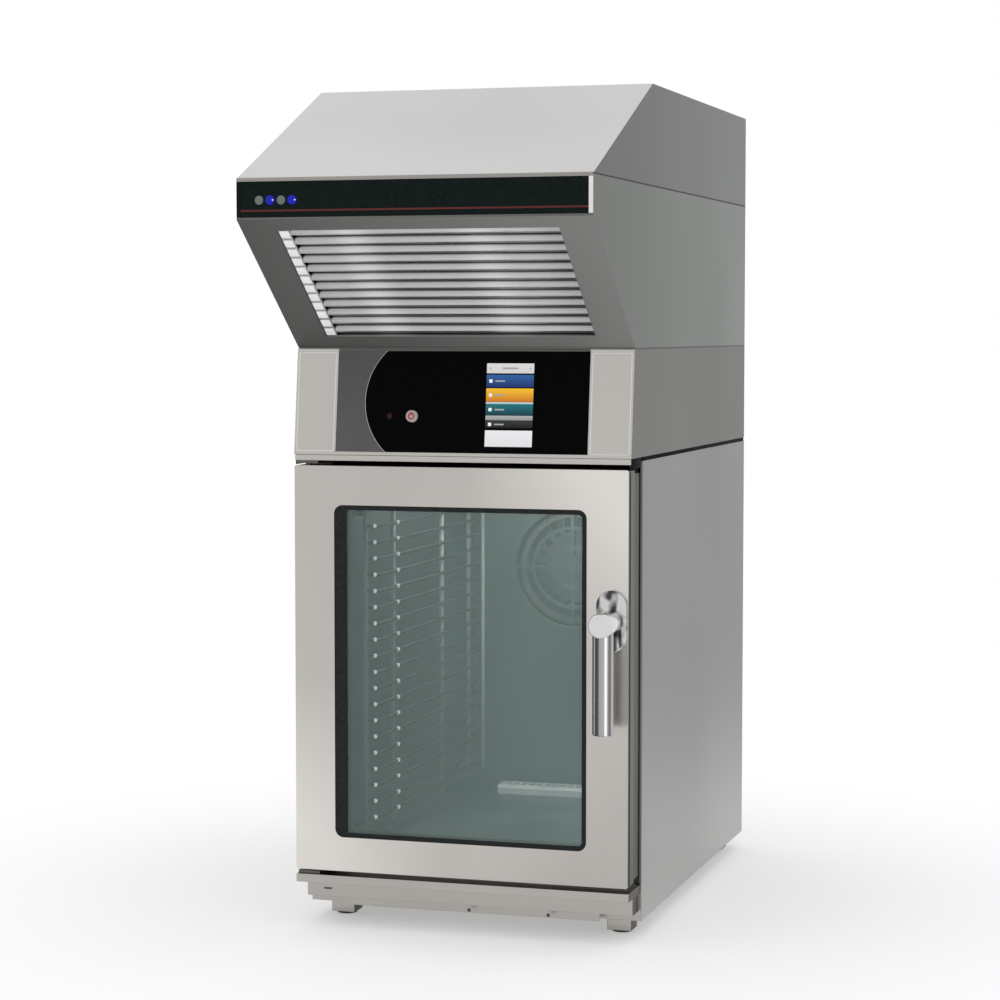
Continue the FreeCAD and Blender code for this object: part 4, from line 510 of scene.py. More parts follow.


# Painted reflection: dark and light streaks along the grip and on the rosette.
polished_grip = banded_steel("polished_grip", lever_low.x + GRIP_INSET, lever_high.x - GRIP_INSET,
                             PAINTED_STREAK_TONES, 0.12, "Z")
polished_rosette = reflection_streaked_metal("polished_rosette", (0.05, 0.05, 0.05), (0.58, 0.585, 0.58),
                                  (55.0, 55.0, 40.0))
polished_hub = bright_metal("polished_hub", (0.66, 0.66, 0.655), 0.12, evenly(60.0), 0.08)
# Painted shade: the rails are near-black steel, so that the oven lamp's highlights on them stay faint.
rack_wire = bright_metal("rack_wire", (0.052, 0.057, 0.055), 0.62, evenly(90.0), 0.10)
wire_steel = bright_metal("wire_steel", (0.62, 0.63, 0.62), 0.22, evenly(90.0), 0.10)
fan_steel = bright_metal("fan_steel", (0.25, 0.275, 0.268), 0.42, evenly(90.0), 0.12)
turned_brass = bright_metal("turned_brass", (0.72, 0.55, 0.27), 0.26, (40.0, 900.0, 40.0), 0.12)
cast_aluminium = bright_metal("cast_aluminium", (0.66, 0.66, 0.67), 0.42, evenly(300.0), 0.15)
heater_tube = bright_metal("heater_tube", (0.33, 0.31, 0.29), 0.42, evenly(120.0), 0.14)
print("streaks on the grip:", len(PAINTED_STREAK_TONES))

# %% [markdown]
# ## Plastics, paint, rubber and wool
# Moulded plastic has a fine spark-eroded grain, paint has a faint orange peel, rubber is dull, and
# mineral wool is a mat of fibres. One function makes them all: only the colour, the gloss, the size of
# the grain and its height change from one to the next.

# %% Moulded and painted finishes
PATCH_SCALE = 14.0
COAT_GLOSS = 0.04


def grained(name, colour, roughness, grain_size, height, variation=0.06, coat=0.0, shine=0.25):
    """A non-metal with an even grain."""
    finish, shader = start_finish(name)
    shader.inputs["Specular IOR Level"].default_value = shine
    grain = noise_on(finish, evenly(1.0 / grain_size), detail=2.0)
    patches = noise_on(finish, evenly(PATCH_SCALE), detail=2.0)
    vary_colour(finish, shader, patches, colour, 1.0 - variation, 1.0 + variation)
    vary_gloss(finish, shader, patches, roughness - PATCH_SMOOTH, roughness + PATCH_ROUGH)
    shader.inputs["Coat Weight"].default_value = coat
    shader.inputs["Coat Roughness"].default_value = COAT_GLOSS
    relief(finish, shader, grain, height)
    return finish


insert_plastic = grained("insert_plastic", (0.092, 0.092, 0.092), 0.42, 0.9 * MM, 0.03 * MM, shine=0.1)
black_plastic = grained("black_plastic", (0.022, 0.022, 0.023), 0.50, 0.8 * MM, 0.04 * MM)
foot_plastic = grained("foot_plastic", (0.035, 0.035, 0.036), 0.55, 1.0 * MM, 0.05 * MM)
motor_paint = grained("motor_paint", (0.11, 0.12, 0.13), 0.40, 1.6 * MM, 0.05 * MM)
rail_paint = grained("rail_paint", (0.008, 0.008, 0.008), 0.70, 1.2 * MM, 0.04 * MM, shine=0.03)
seal_rubber = grained("seal_rubber", (0.026, 0.026, 0.027), 0.62, 0.6 * MM, 0.05 * MM, shine=0.1)
seal_and_shade_grey = grained("seal_and_shade_grey", (0.13, 0.13, 0.125), 0.60, 0.6 * MM, 0.03 * MM, shine=0.1)
mineral_wool = grained("mineral_wool", (0.52, 0.47, 0.30), 0.95, 2.2 * MM, 0.8 * MM, 0.25)
charcoal = grained("charcoal", (0.020, 0.020, 0.021), 0.85, 2.5 * MM, 0.6 * MM, 0.2)
board_lacquer = grained("board_lacquer", (0.014, 0.105, 0.045), 0.35, 1.5 * MM, 0.03 * MM)
edge_highlight_pale = grained("edge_highlight_pale", (0.50, 0.54, 0.53), 0.40, 1.0 * MM, 0.01 * MM)
rack_post = grained("rack_post", (0.33, 0.356, 0.348), 0.40, 1.0 * MM, 0.01 * MM)
pale_enamel = grained("pale_enamel", (0.90, 0.92, 0.91), 0.22, 1.0 * MM, 0.01 * MM, shine=0.5)
print("grained finishes ready")

# %% [markdown]
# ## Black fronts
# The control front, the nose of the hood and the border of the window are smooth and black, with a little
# dust on them.

# %% Black fronts
DUST_SCALE, DUST_TONES, DUST_GLOSS = 220.0, (0.8, 1.3), (0.12, 0.20)
BLACK_SHINE = 0.02


def gloss_black(name, colour):
    """Black with a smooth face and faint dust."""
    finish, shader = start_finish(name)
    dust = noise_on(finish, evenly(DUST_SCALE), detail=4.0)
    vary_colour(finish, shader, dust, colour, *DUST_TONES)
    vary_gloss(finish, shader, dust, *DUST_GLOSS)
    shader.inputs["Specular IOR Level"].default_value = BLACK_SHINE
    return finish


black_glass = gloss_black("black_glass", (0.0012, 0.0012, 0.0013))
nose_black = gloss_black("nose_black", (0.006, 0.010, 0.0092))
reveal_black = gloss_black("reveal_black", (0.018, 0.021, 0.020))
print("black fronts ready")

# %% [markdown]
# ## Door panes
# The door panes are tinted green-grey: part of the light goes through to the oven, and part comes back as a
# veil. A partly clear surface gives that look without slow refraction, and light still falls into the oven
# through it. A painted reflection makes the veil stronger at the right, where the pane mirrors the brighter
# side of the room.

# %% Panes
PANE_SHARE = 0.8
PANE_SPREAD = (skin_low.x * PANE_SHARE, skin_high.x * PANE_SHARE)
PANE_LEFT, PANE_RIGHT = (0.74, 0.84), (1.16, 1.30)
SMEAR_SCALE, SMEAR_ROUGH = (7.0, 7.0, 2.5), 0.05


def pane(name, colour, clearness, roughness):
    """Tinted pane that veils what is behind it."""
    finish, shader = start_finish(name)
    smears = noise_on(finish, SMEAR_SCALE, detail=3.0)
    # Painted reflection: the veil is darker at the left and lighter at the right.
    left, right = (tinted(finish, smears, shade(colour, dark), shade(colour, light))
                   for dark, light in (PANE_LEFT, PANE_RIGHT))
    join(finish, blend(finish, along(finish, "X", *PANE_SPREAD), left, right), shader.inputs["Base Color"])
    vary_gloss(finish, shader, smears, roughness, roughness + SMEAR_ROUGH)
    shader.inputs["Alpha"].default_value = 1.0 - clearness
    return finish


outer_pane = pane("outer_pane", (0.178, 0.252, 0.238), 0.68, 0.04)
inner_pane = pane("inner_pane", (0.07, 0.11, 0.10), 0.90, 0.05)
print("veil from", PANE_LEFT, "to", PANE_RIGHT)

# %% [markdown]
# ## Lights and beads
# Lamps and lit signs shine by themselves. The weld beads of the racks glow in the same way, though they are
# no lamps: a painted highlight makes them bright on the side that looks up and out of the oven, and painted
# shade makes them dark at the rim.

# %% Lights and beads
GLOW_SCALE, GLOW_LOW, GLOW_HIGH = 30.0, 0.95, 1.05
UNLIT_SHARE = 0.25
LIT_SHINE = 0.15
BEAD_LIGHT, BEAD_TURN = (0.20, -0.93, 0.30), (0.30, 0.75)
BEAD_BASE = (0.20, 0.21, 0.21, 1.0)
BEAD_STRENGTH, BEAD_GLOSS = 0.95, 0.3


def lit(name, colour, strength, gloss=0.3):
    """A surface that shines by itself, a little brighter in patches."""
    finish, shader = start_finish(name)
    glow = noise_on(finish, evenly(GLOW_SCALE), detail=1.0)
    tone = tinted(finish, glow, shade(colour, GLOW_LOW), shade(colour, GLOW_HIGH))
    join(finish, tone, shader.inputs["Emission Color"])
    shader.inputs["Emission Strength"].default_value = strength
    shader.inputs["Base Color"].default_value = (*shade(colour, UNLIT_SHARE), 1.0)
    shader.inputs["Roughness"].default_value = gloss
    shader.inputs["Specular IOR Level"].default_value = LIT_SHINE
    return finish


def glowing_highlight_bead(name, light, dark):
    """A small glowing ball with a painted highlight on the side that looks up and out of the oven, and
    painted shade at its rim.
    """
    finish, shader = start_finish(name)
    turned_out = looks_along(finish, BEAD_LIGHT, *BEAD_TURN)
    join(finish, tinted(finish, turned_out, dark, light, 0.0, 1.0), shader.inputs["Emission Color"])
    shader.inputs["Emission Strength"].default_value = BEAD_STRENGTH
    shader.inputs["Base Color"].default_value = BEAD_BASE
    shader.inputs["Roughness"].default_value = BEAD_GLOSS
    return finish


lamp_glass = lit("lamp_glass", (1.0, 0.97, 0.90), 8.0)
painted_highlight_beads = glowing_highlight_bead("painted_highlight_beads", (0.90, 0.93, 0.92), (0.10, 0.11, 0.11))
print("lit finishes ready")

# %% [markdown]
# ## Dress the solids
# Each solid gets its finish by name. The mesh and the place of a solid are never touched: only its
# material slot changes.

# %% Finishes by solid
FINISHES = {
    door_steel: ["door_skin", "door_liner", "latch_keeper"],
    # Painted shade: the hinge brackets in the gap under the door are dark steel.
    dark_steel: ["hinge_brackets"],
    control_steel: ["control_fascia", "control_housing"],
    panel_steel: ["left_side_panel", "right_side_panel", "back_panel", "top_deck"],
    hood_steel: ["hood_cap"],
    hood_shell_steel: ["hood_body", "blower_plate"],
    base_steel: ["base_pan", "plinth_panel", "drip_tray", "front_frame"],
    oven_steel: ["cavity_liner", "fan_baffle"],
    pipe_steel: ["drain_pipe", "vent_pipe"],
    pale_enamel: ["drain_strainer"],
    filter_steel: ["baffle_filter"],
    rack_wire: ["left_rack", "right_rack", "rack_studs"],
    wire_steel: ["steam_injector", "temperature_sensor", "latch_spindle"],
    fan_steel: ["fan_wheel"],
    polished_grip: ["door_lever"],
    polished_rosette: ["handle_rosette"],
    turned_brass: ["water_valves", "hinge_bushes", "spindle_sleeve"],
    cast_aluminium: ["blower_wheel"],
    heater_tube: ["heating_element"],
    insert_plastic: ["fascia_insert", "hood_lenses"],
    black_plastic: ["power_contactor", "cable_gland", "status_lens"],
    foot_plastic: ["leveling_feet"],
    motor_paint: ["fan_motor", "blower_motor"],
    rail_paint: ["housing_rail", "glass_spacer"],
    seal_rubber: ["door_gasket"],
    mineral_wool: ["insulation"],
    charcoal: ["charcoal_filter"],
    board_lacquer: ["control_board"],
    black_glass: ["control_glass", "display_module"],
    nose_black: ["hood_fascia", "power_button", "hood_button_left", "hood_button_right"],
    outer_pane: ["outer_glass"],
    inner_pane: ["inner_glass"],
    lamp_glass: ["oven_lamp"],
}
dressed = set()
for finish, names in FINISHES.items():
    for name in names:
        solids[name].data.materials.clear()
        solids[name].data.materials.append(finish)
        dressed.add(name)
print("dressed", len(dressed), "solids, bare:", sorted(set(solids) - dressed))

# %% [markdown]
# ## From a shape to a piece
# A new piece starts as a bmesh, is shaped by operators, and becomes an object that rides on one of the
# bodies. This helper does the last step: it merges doubles, turns all faces outward, and keeps only the
# edges sharp that fold more than a given angle.

# %% From shape to piece
MERGE_DISTANCE = 0.002 * MM
SHARP_FOLD, ROUND_FOLD = 35.0, 50.0


def finish_piece(name, shape, body, finish, sharp=SHARP_FOLD):
    """Turn a bmesh into a piece that rides on a body."""
    bmesh.ops.remove_doubles(shape, verts=shape.verts, dist=MERGE_DISTANCE)
    bmesh.ops.recalc_face_normals(shape, faces=shape.faces)
    mesh = bpy.data.meshes.new(name)
    shape.to_mesh(mesh)
    shape.free()
    mesh.materials.append(finish)
    mesh.shade_smooth()
    mesh.set_sharp_from_angle(angle=math.radians(sharp))
    piece = bpy.data.objects.new(name, mesh)
    scene.collection.objects.link(piece)
    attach(piece, body)
    print(name, len(mesh.polygons), "faces")
    return piece


print("edges stay sharp above", SHARP_FOLD, "degrees")

# %% [markdown]
# ## Turned shapes and blocks
# A turned shape is a profile spun round an axis. It is put in place by moving every vertex that hangs
# together with it. A block is a box with rounded edges.


# %% Turned shapes and blocks
def linked_verts(seed):
    """Every vertex that edges join to the seed."""
    found = {seed}
    front = [seed]
    while front:
        vert = front.pop()
        for edge in vert.link_edges:
            other = edge.other_vert(vert)
            if other not in found:
                found.add(other)
                front.append(other)
    return list(found)


def turned(shape, profile, place, steps=40):
    """Spin a profile of (radius, height) round the local Z axis and put it in place."""
    points = [shape.verts.new((radius, 0.0, height)) for radius, height in profile]
    edges = [shape.edges.new(pair) for pair in zip(points, points[1:])]
    bmesh.ops.spin(shape, geom=points + edges, cent=(0, 0, 0), axis=(0, 0, 1), angle=math.tau,
                   steps=steps, use_merge=True)
    bmesh.ops.transform(shape, matrix=place, verts=linked_verts(points[0]))


def block(shape, low, high, edge):
    """A box between two corners, with its edges rounded."""
    low, high = Vector(low), Vector(high)
    place = Matrix.Translation((low + high) / 2) @ Matrix.Diagonal((*(high - low), 1.0))
    corners = bmesh.ops.create_cube(shape, size=1.0, matrix=place)["verts"]
    edges = list({item for corner in corners for item in corner.link_edges})
    bmesh.ops.bevel(shape, geom=edges, offset=edge, segments=2, profile=0.5, affect="EDGES", material=-1)


print("turning helpers ready")

# %% [markdown]
# ## Plates and rings
# A plate is a rectangle with its corners bevelled, then extruded. A flat ring is such a rectangle, inset,
# with its middle taken out.


# %% Plates and rings
def rounded_sheet(shape, width, height, radius, segments):
    """A flat rectangle with rounded corners, as one face on the local XY plane."""
    corners = bmesh.ops.create_grid(shape, x_segments=1, y_segments=1, size=0.5,
                                    matrix=Matrix.Diagonal((width, height, 1.0, 1.0)))["verts"]
    rounded = bmesh.ops.bevel(shape, geom=corners, offset=radius, segments=segments, profile=0.5,
                              affect="VERTICES", material=-1)
    return rounded["verts"][0].link_faces[0]


def rounded_plate(shape, width, height, radius, thickness, place, edge=0.0, segments=6):
    """A plate with rounded corners, its back on the local XY plane, put in place."""
    base = rounded_sheet(shape, width, height, radius, segments)
    raised = bmesh.ops.extrude_face_region(shape, geom=[base])["geom"]
    top = [item for item in raised if isinstance(item, bmesh.types.BMVert)]
    bmesh.ops.translate(shape, verts=top, vec=(0, 0, thickness))
    seed = base.verts[0]
    if edge > 0:
        rim = {item for vert in top for item in vert.link_edges if all(end in top for end in item.verts)}
        bmesh.ops.bevel(shape, geom=list(rim), offset=edge, segments=3, profile=0.5, affect="EDGES",
                        material=-1)
    bmesh.ops.transform(shape, matrix=place, verts=linked_verts(seed))


def flat_ring(shape, width, height, radius, border, thickness, place, segments=8):
    """A flat frame with rounded corners, put in place."""
    middle = rounded_sheet(shape, width, height, radius, segments)
    ring = bmesh.ops.inset_region(shape, faces=[middle], thickness=border, use_boundary=True,
                                  use_even_offset=True)["faces"]
    bmesh.ops.delete(shape, geom=[middle], context="FACES")
    bmesh.ops.solidify(shape, geom=ring, thickness=thickness)
    bmesh.ops.transform(shape, matrix=place, verts=linked_verts(ring[0].verts[0]))


print("plate helpers ready")

# %% [markdown]
# ## Places on the front and the back
# Shapes are made lying flat, with Z up. These two places turn that Z out of the front or out of the back.


# %% Front and back
def facing_front(x, y, z):
    """A place whose local Z points out of the front of the oven."""
    return Matrix.Translation((x, y, z)) @ Matrix.Rotation(math.pi / 2, 4, "X")


def facing_back(x, y, z):
    """A place whose local Z points out of the back of the oven."""
    return Matrix.Translation((x, y, z)) @ Matrix.Rotation(-math.pi / 2, 4, "X")


print("place helpers for plates ready")

# %% [markdown]
# ## The door lever
# The handle is a thick round hub with a plain round grip that hangs from it. The solids already have that
# shape. Here the hub and the grip are turned finely, because polished metal shows every facet.

# %% Lever
HUB_RADIUS = 18 * MM
GRIP_RADIUS = 15 * MM
LEVER_STEPS = 64
hub_x = (lever_low.x + lever_high.x) / 2
hub_z = lever_high.z - HUB_RADIUS
hub_length = lever_high.y - lever_low.y
hub = bmesh.new()
turned(hub, [
    (0.0, hub_length), (HUB_RADIUS - 5 * MM, hub_length), (HUB_RADIUS - 2.2 * MM, hub_length - 0.5 * MM),
    (HUB_RADIUS - 0.6 * MM, hub_length - 1.8 * MM), (HUB_RADIUS, hub_length - 4 * MM), (HUB_RADIUS, 9 * MM),
    (HUB_RADIUS - 1 * MM, 5 * MM), (HUB_RADIUS - 3 * MM, 0.6 * MM), (HUB_RADIUS - 4 * MM, 0.0), (0.0, 0.0)],
    facing_front(hub_x, lever_high.y, hub_z), LEVER_STEPS)
hub_piece = finish_piece("lever_hub", hub, "handle", polished_hub, ROUND_FOLD)
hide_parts("door_lever")
grip = bmesh.new()
grip_length = hub_z - lever_low.z
turned(grip, [
    (0.0, 0.0), (GRIP_RADIUS - 3 * MM, 0.0), (GRIP_RADIUS - 1.2 * MM, 0.5 * MM),
    (GRIP_RADIUS - 0.3 * MM, 1.6 * MM), (GRIP_RADIUS, 3.5 * MM), (GRIP_RADIUS, grip_length),
    (0.0, grip_length)],
    Matrix.Translation((hub_x, lever_low.y + HUB_RADIUS, lever_low.z)), LEVER_STEPS)
finish_piece("lever_grip", grip, "handle", polished_grip, ROUND_FOLD)

# %% [markdown]
# ## The rosette behind the lever
# A long oval plate covers the hole for the spindle. It is a rectangle whose corners are rounded until the
# ends are half circles, and whose front edge gets a soft bevel that catches the light.

# %% Rosette
ROSETTE_EDGE = 2.2 * MM
ROSETTE_SEGMENTS = 14
NEARLY_HALF = 0.495
rosette_low, rosette_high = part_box("handle_rosette")
rosette_size = rosette_high - rosette_low
rosette_middle = (rosette_low + rosette_high) / 2
rosette = bmesh.new()
rounded_plate(rosette, rosette_size.x, rosette_size.z, rosette_size.x * NEARLY_HALF, rosette_size.y,
              facing_front(rosette_middle.x, rosette_high.y, rosette_middle.z), ROSETTE_EDGE,
              ROSETTE_SEGMENTS)
rosette_piece = finish_piece("oval_rosette", rosette, "door", polished_rosette, ROUND_FOLD)
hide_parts("handle_rosette")

# %% [markdown]
# ## How to bend a wire
# A wire is a ring of points that is pulled along the straights and spun through the bends. Each helper
# takes the open end of the wire and gives back the new open end, so a rail is made in the same order as
# on a bending machine. A straight rod is turned instead.

# %% Wire helpers
ROD_STEPS = 20


def wire_ring(shape, radius, place, points=10):
    """The ring of points that a wire starts from."""
    circle = bmesh.ops.create_circle(shape, cap_ends=False, segments=points, radius=radius, matrix=place)
    return list({edge for vert in circle["verts"] for edge in vert.link_edges})


def wire_run(shape, ring, step):
    """Pull the ring straight on."""
    made = bmesh.ops.extrude_edge_only(shape, edges=ring)["geom"]
    ends = [item for item in made if isinstance(item, bmesh.types.BMVert)]
    bmesh.ops.translate(shape, verts=ends, vec=step)
    return [item for item in made if isinstance(item, bmesh.types.BMEdge)
            and all(vert in ends for vert in item.verts)]


def wire_bend(shape, ring, centre, angle, steps=6):
    """Spin the ring level through a bend."""
    verts = list({vert for edge in ring for vert in edge.verts})
    made = bmesh.ops.spin(shape, geom=verts + ring, cent=centre, axis=(0, 0, 1), angle=angle, steps=steps)
    return [item for item in made["geom_last"] if isinstance(item, bmesh.types.BMEdge)]


def close_wire(shape, ring):
    """Close the end of a wire."""
    bmesh.ops.contextual_create(shape, geom=ring)


def rod(shape, radius, length, edge, place):
    """A straight rod with bevelled ends, standing on the local XY plane."""
    turned(shape, [(0.0, 0.0), (radius - edge, 0.0), (radius, edge), (radius, length - edge),
                   (radius - edge, length), (0.0, length)], place, ROD_STEPS)


print("wire helpers ready")

# %% [markdown]
# ## One bent rail
# Each rack is a ladder of round wires welded to upright posts. A rail is one wire with a bend at each
# end, and the solids keep those bends square. Here one rail is bent properly.

# %% Rail
WIRE_RADIUS = 2.5 * MM
RAIL_LEVELS = 19
FIRST_RAIL, LAST_RAIL = 42 * MM, 60 * MM
BEND = 9 * MM
SHEET = 1.5 * MM
liner_low, liner_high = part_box("cavity_liner")
oven_floor, oven_roof = liner_low.z + SHEET, liner_high.z - SHEET
first_level = oven_floor + FIRST_RAIL
pitch = (oven_roof - oven_floor - FIRST_RAIL - LAST_RAIL) / (RAIL_LEVELS - 1)


def bent_rail(shape, sign, post_x, rail_x, front_y, rear_y):
    """One rail from the front post round to the rear post, as a list of its geometry."""
    ring = wire_ring(shape, WIRE_RADIUS, Matrix.Translation((post_x, front_y, first_level))
                     @ Matrix.Rotation(math.pi / 2, 4, "Y"))
    close_wire(shape, ring)
    seed = ring[0].verts[0]
    turn = sign * -math.pi / 2
    across = rail_x - post_x + sign * BEND
    ring = wire_run(shape, ring, (across, 0, 0))
    ring = wire_bend(shape, ring, (rail_x + sign * BEND, front_y + BEND, first_level), turn)
    ring = wire_run(shape, ring, (0, rear_y - front_y - 2 * BEND, 0))
    ring = wire_bend(shape, ring, (rail_x + sign * BEND, rear_y - BEND, first_level), turn)
    ring = wire_run(shape, ring, (-across, 0, 0))
    close_wire(shape, ring)
    verts = linked_verts(seed)
    edges = {edge for vert in verts for edge in vert.link_edges}
    faces = {face for vert in verts for face in vert.link_faces}
    return verts + list(edges) + list(faces)


print("rails every", round(pitch / MM, 1), "mm")

# %% [markdown]
# ## The wire racks
# The rail is copied up each rack, and four posts carry the copies. Small glowing beads at the front bends and
# at the second post are a painted highlight, where the welds catch the lamp.

# %% Racks
POST_RADIUS, POST_EDGE = 4 * MM, 1 * MM
SECOND_POST, THIRD_POST = 90 * MM, 330 * MM
BEAD_RADIUS = 3.8 * MM
BEAD_OUT = 1.5 * MM
BEAD_ASIDE, BEAD_BEHIND = BEND * 0.5, BEND * 0.2
for side_name, sign in (("left", -1.0), ("right", 1.0)):
    rack_low, rack_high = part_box(side_name + "_rack")
    post_x = (rack_low.x if sign < 0 else rack_high.x) - sign * POST_RADIUS
    rail_x = (rack_high.x if sign < 0 else rack_low.x) + sign * WIRE_RADIUS
    front_y, rear_y = rack_low.y + POST_RADIUS, rack_high.y - POST_RADIUS
    rack = bmesh.new()
    rail = bent_rail(rack, sign, post_x, rail_x, front_y, rear_y)
    for step in range(1, RAIL_LEVELS):
        copy = bmesh.ops.duplicate(rack, geom=rail)["geom"]
        moved = [item for item in copy if isinstance(item, bmesh.types.BMVert)]
        bmesh.ops.translate(rack, verts=moved, vec=(0, 0, pitch * step))
    piece = finish_piece(side_name + "_wire_rack", rack, "cabinet", rack_wire, ROUND_FOLD)
    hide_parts(side_name + "_rack")
    posts = bmesh.new()
    tall = rack_high.z - rack_low.z
    brace_x = rail_x + sign * (WIRE_RADIUS + POST_RADIUS)
    for x, y in ((post_x, front_y), (post_x, rear_y), (brace_x, front_y + SECOND_POST),
                 (brace_x, front_y + THIRD_POST)):
        rod(posts, POST_RADIUS, tall, POST_EDGE, Matrix.Translation((x, y, rack_low.z)))
    finish_piece(side_name + "_rack_posts", posts, "cabinet", rack_post, ROUND_FOLD)
    # Painted highlight: glowing beads at the welds.
    beads = bmesh.new()
    for step in range(RAIL_LEVELS):
        z = first_level + pitch * step
        for x, y in ((rail_x + sign * BEAD_ASIDE, front_y + BEAD_BEHIND),
                     (rail_x - sign * BEAD_OUT, front_y + SECOND_POST)):
            bmesh.ops.create_icosphere(beads, subdivisions=2, radius=BEAD_RADIUS,
                                       matrix=Matrix.Translation((x, y, z)))
    finish_piece(side_name + "_rack_beads", beads, "cabinet", painted_highlight_beads, ROUND_FOLD)

# %% [markdown]
# ## The door window's black border
# Oven panes carry a baked-on black border that hides the seal and the spacer. It is a thin flat ring just
# inside the window's edge. Along the left a wider dark band is painted shade, where the spacer is seen at a
# slant.

# %% Window border
WINDOW_RADIUS = 13 * MM
WINDOW_MARGIN_SIDE = 62 * MM
WINDOW_MARGIN_LOW, WINDOW_MARGIN_HIGH = 51 * MM, 58 * MM
BORDER, BORDER_THICK, BORDER_PLAY = 7 * MM, 0.15 * MM, 0.2 * MM
REVEAL, REVEAL_THICK, REVEAL_PLAY = 13 * MM, 0.12 * MM, 0.02 * MM
REVEAL_CORNER = 0.5 * MM
pane_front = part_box("outer_glass")[0].y
window_low = Vector((skin_low.x + WINDOW_MARGIN_SIDE, pane_front, skin_low.z + WINDOW_MARGIN_LOW))
window_high = Vector((skin_high.x - WINDOW_MARGIN_SIDE, pane_front, skin_high.z - WINDOW_MARGIN_HIGH))
window_middle = (window_low + window_high) / 2
window_size = window_high - window_low
border = bmesh.new()
flat_ring(border, window_size.x - BORDER_PLAY, window_size.z - BORDER_PLAY, WINDOW_RADIUS, BORDER,
          BORDER_THICK, facing_front(window_middle.x, pane_front - BORDER_PLAY, window_middle.z))
finish_piece("window_border", border, "door", reveal_black)
# Painted shade: a wider dark band along the left of the window.
reveal = bmesh.new()
reveal_x = window_low.x + BORDER + REVEAL / 2 - BORDER_PLAY
rounded_plate(reveal, REVEAL, window_size.z - 2 * BORDER, REVEAL_CORNER, REVEAL_THICK,
              facing_front(reveal_x, pane_front - REVEAL_PLAY, window_middle.z), segments=3)
finish_piece("window_reveal", reveal, "door", reveal_black)

# %% [markdown]
# ## Painted shade lines along the door's edges
# The door is a folded skin on a folded liner. Just behind the front face the fold shows a dark line of shade
# on both edges of the door. Each line is painted shade: a thin black strip laid on the edge. The helper makes
# such a pair of blocks for any two distances from the middle of the oven, and serves the flanges and seals
# further on as well.

# %% Door shade lines
SEAM_BEHIND_FRONT = 7 * MM
SEAM_WIDTH, SEAM_PROUD, SEAM_EDGE = 4.5 * MM, 0.4 * MM, 0.1 * MM
SEAM_INSET = 3 * MM


def mirrored_blocks(shape, first_x, second_x, low, high, edge):
    """A block at the left and one at the right. Low and high are the (y, z) of their corners."""
    for sign in (-1.0, 1.0):
        near, far = sorted((sign * first_x, sign * second_x))
        block(shape, (near, *low), (far, *high), edge)


# Painted shade: a black strip on each edge of the door.
shade_lines = bmesh.new()
seam_front = skin_low.y + SEAM_BEHIND_FRONT
mirrored_blocks(shade_lines, skin_high.x, skin_high.x + SEAM_PROUD, (seam_front, skin_low.z + SEAM_INSET),
                (seam_front + SEAM_WIDTH, skin_high.z - SEAM_INSET), SEAM_EDGE)
finish_piece("door_shade_lines", shade_lines, "door", seal_rubber)

# %% [markdown]
# ## The leaning control front
# The control front leans back, so its pieces are laid out flat first and then turned as a whole. One helper
# gives a place on any leaning front from a distance across, a distance up and a distance out.

# %% Leaning front
FASCIA_RISE, FASCIA_SETBACK = 156.0, 18.0
FASCIA_LEAN = math.atan2(FASCIA_SETBACK, FASCIA_RISE)
FASCIA_THICK = 4 * MM
PLATE_MIDDLE = 225 * MM
PLATE_WIDTH, PLATE_HEIGHT, PLATE_THICK = 59 * MM, 147 * MM, 0.3 * MM
PLATE_UP = 78.5 * MM
PLATE_EDGE, PLATE_CORNER = 1.3 * MM, 2.5 * MM
fascia_low, fascia_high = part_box("control_fascia")
fascia_foot = Vector((0.0, fascia_low.y, fascia_low.z + FASCIA_THICK * math.sin(FASCIA_LEAN)))


def leaning_place(foot, lean, x, up, out):
    """A place on a leaning front, whose local Z points out of it."""
    return Matrix.Translation(foot) @ Matrix.Rotation(lean, 4, "X") @ facing_front(x, -out, up)


def on_control_front(x, up, out):
    """A place on the control front."""
    return leaning_place(fascia_foot, -FASCIA_LEAN, x, up, out)


frames = bmesh.new()
for x in (-PLATE_MIDDLE, PLATE_MIDDLE):
    flat_ring(frames, PLATE_WIDTH, PLATE_HEIGHT, PLATE_CORNER, PLATE_EDGE, PLATE_THICK,
              on_control_front(x, PLATE_UP, PLATE_THICK / 2), segments=4)
finish_piece("plate_frames", frames, "cabinet", trim_steel)
print("front leans", round(math.degrees(FASCIA_LEAN), 2), "degrees")

# %% [markdown]
# ## The curved edge of the grey insert
# The grey insert ends in a wide arc with a fine bright edge. A small rectangle is spun along that arc. The
# height of the opening and the depth of the arc give its radius. A dark strip covers the thin steel edge
# above the glass.

# %% Insert edge
OPENING_LOW, OPENING_HIGH = 5.5 * MM, 154.5 * MM
ARC_ENDS_X = -115 * MM
ARC_DEPTH, ARC_RECESS = 33 * MM, 0.4 * MM
ARC_STEPS = 40
EDGE_WIDTH, EDGE_PROUD = 1.0 * MM, 0.25 * MM
STRIP_WIDTH, STRIP_HEIGHT, STRIP_THICK = 384 * MM, 3.2 * MM, 0.3 * MM
STRIP_CORNER, STRIP_EDGE, STRIP_OUT = 0.4 * MM, 0.1 * MM, 0.02 * MM
STRIP_SHIFT = 0.3
half_chord = (OPENING_HIGH - OPENING_LOW) / 2
opening_middle = (OPENING_LOW + OPENING_HIGH) / 2
arc_radius = (half_chord ** 2 + ARC_DEPTH ** 2) / (2 * ARC_DEPTH)
half_angle = math.asin(half_chord / arc_radius)
arc_place = on_control_front(ARC_ENDS_X - ARC_DEPTH + arc_radius, opening_middle, -ARC_RECESS)
rim = bmesh.new()
section = [rim.verts.new((-arc_radius + across, 0.0, out)) for across, out in (
    (0.0, 0.0), (-EDGE_WIDTH, 0.0), (-EDGE_WIDTH, EDGE_PROUD), (0.0, EDGE_PROUD))]
start = rim.faces.new(section)
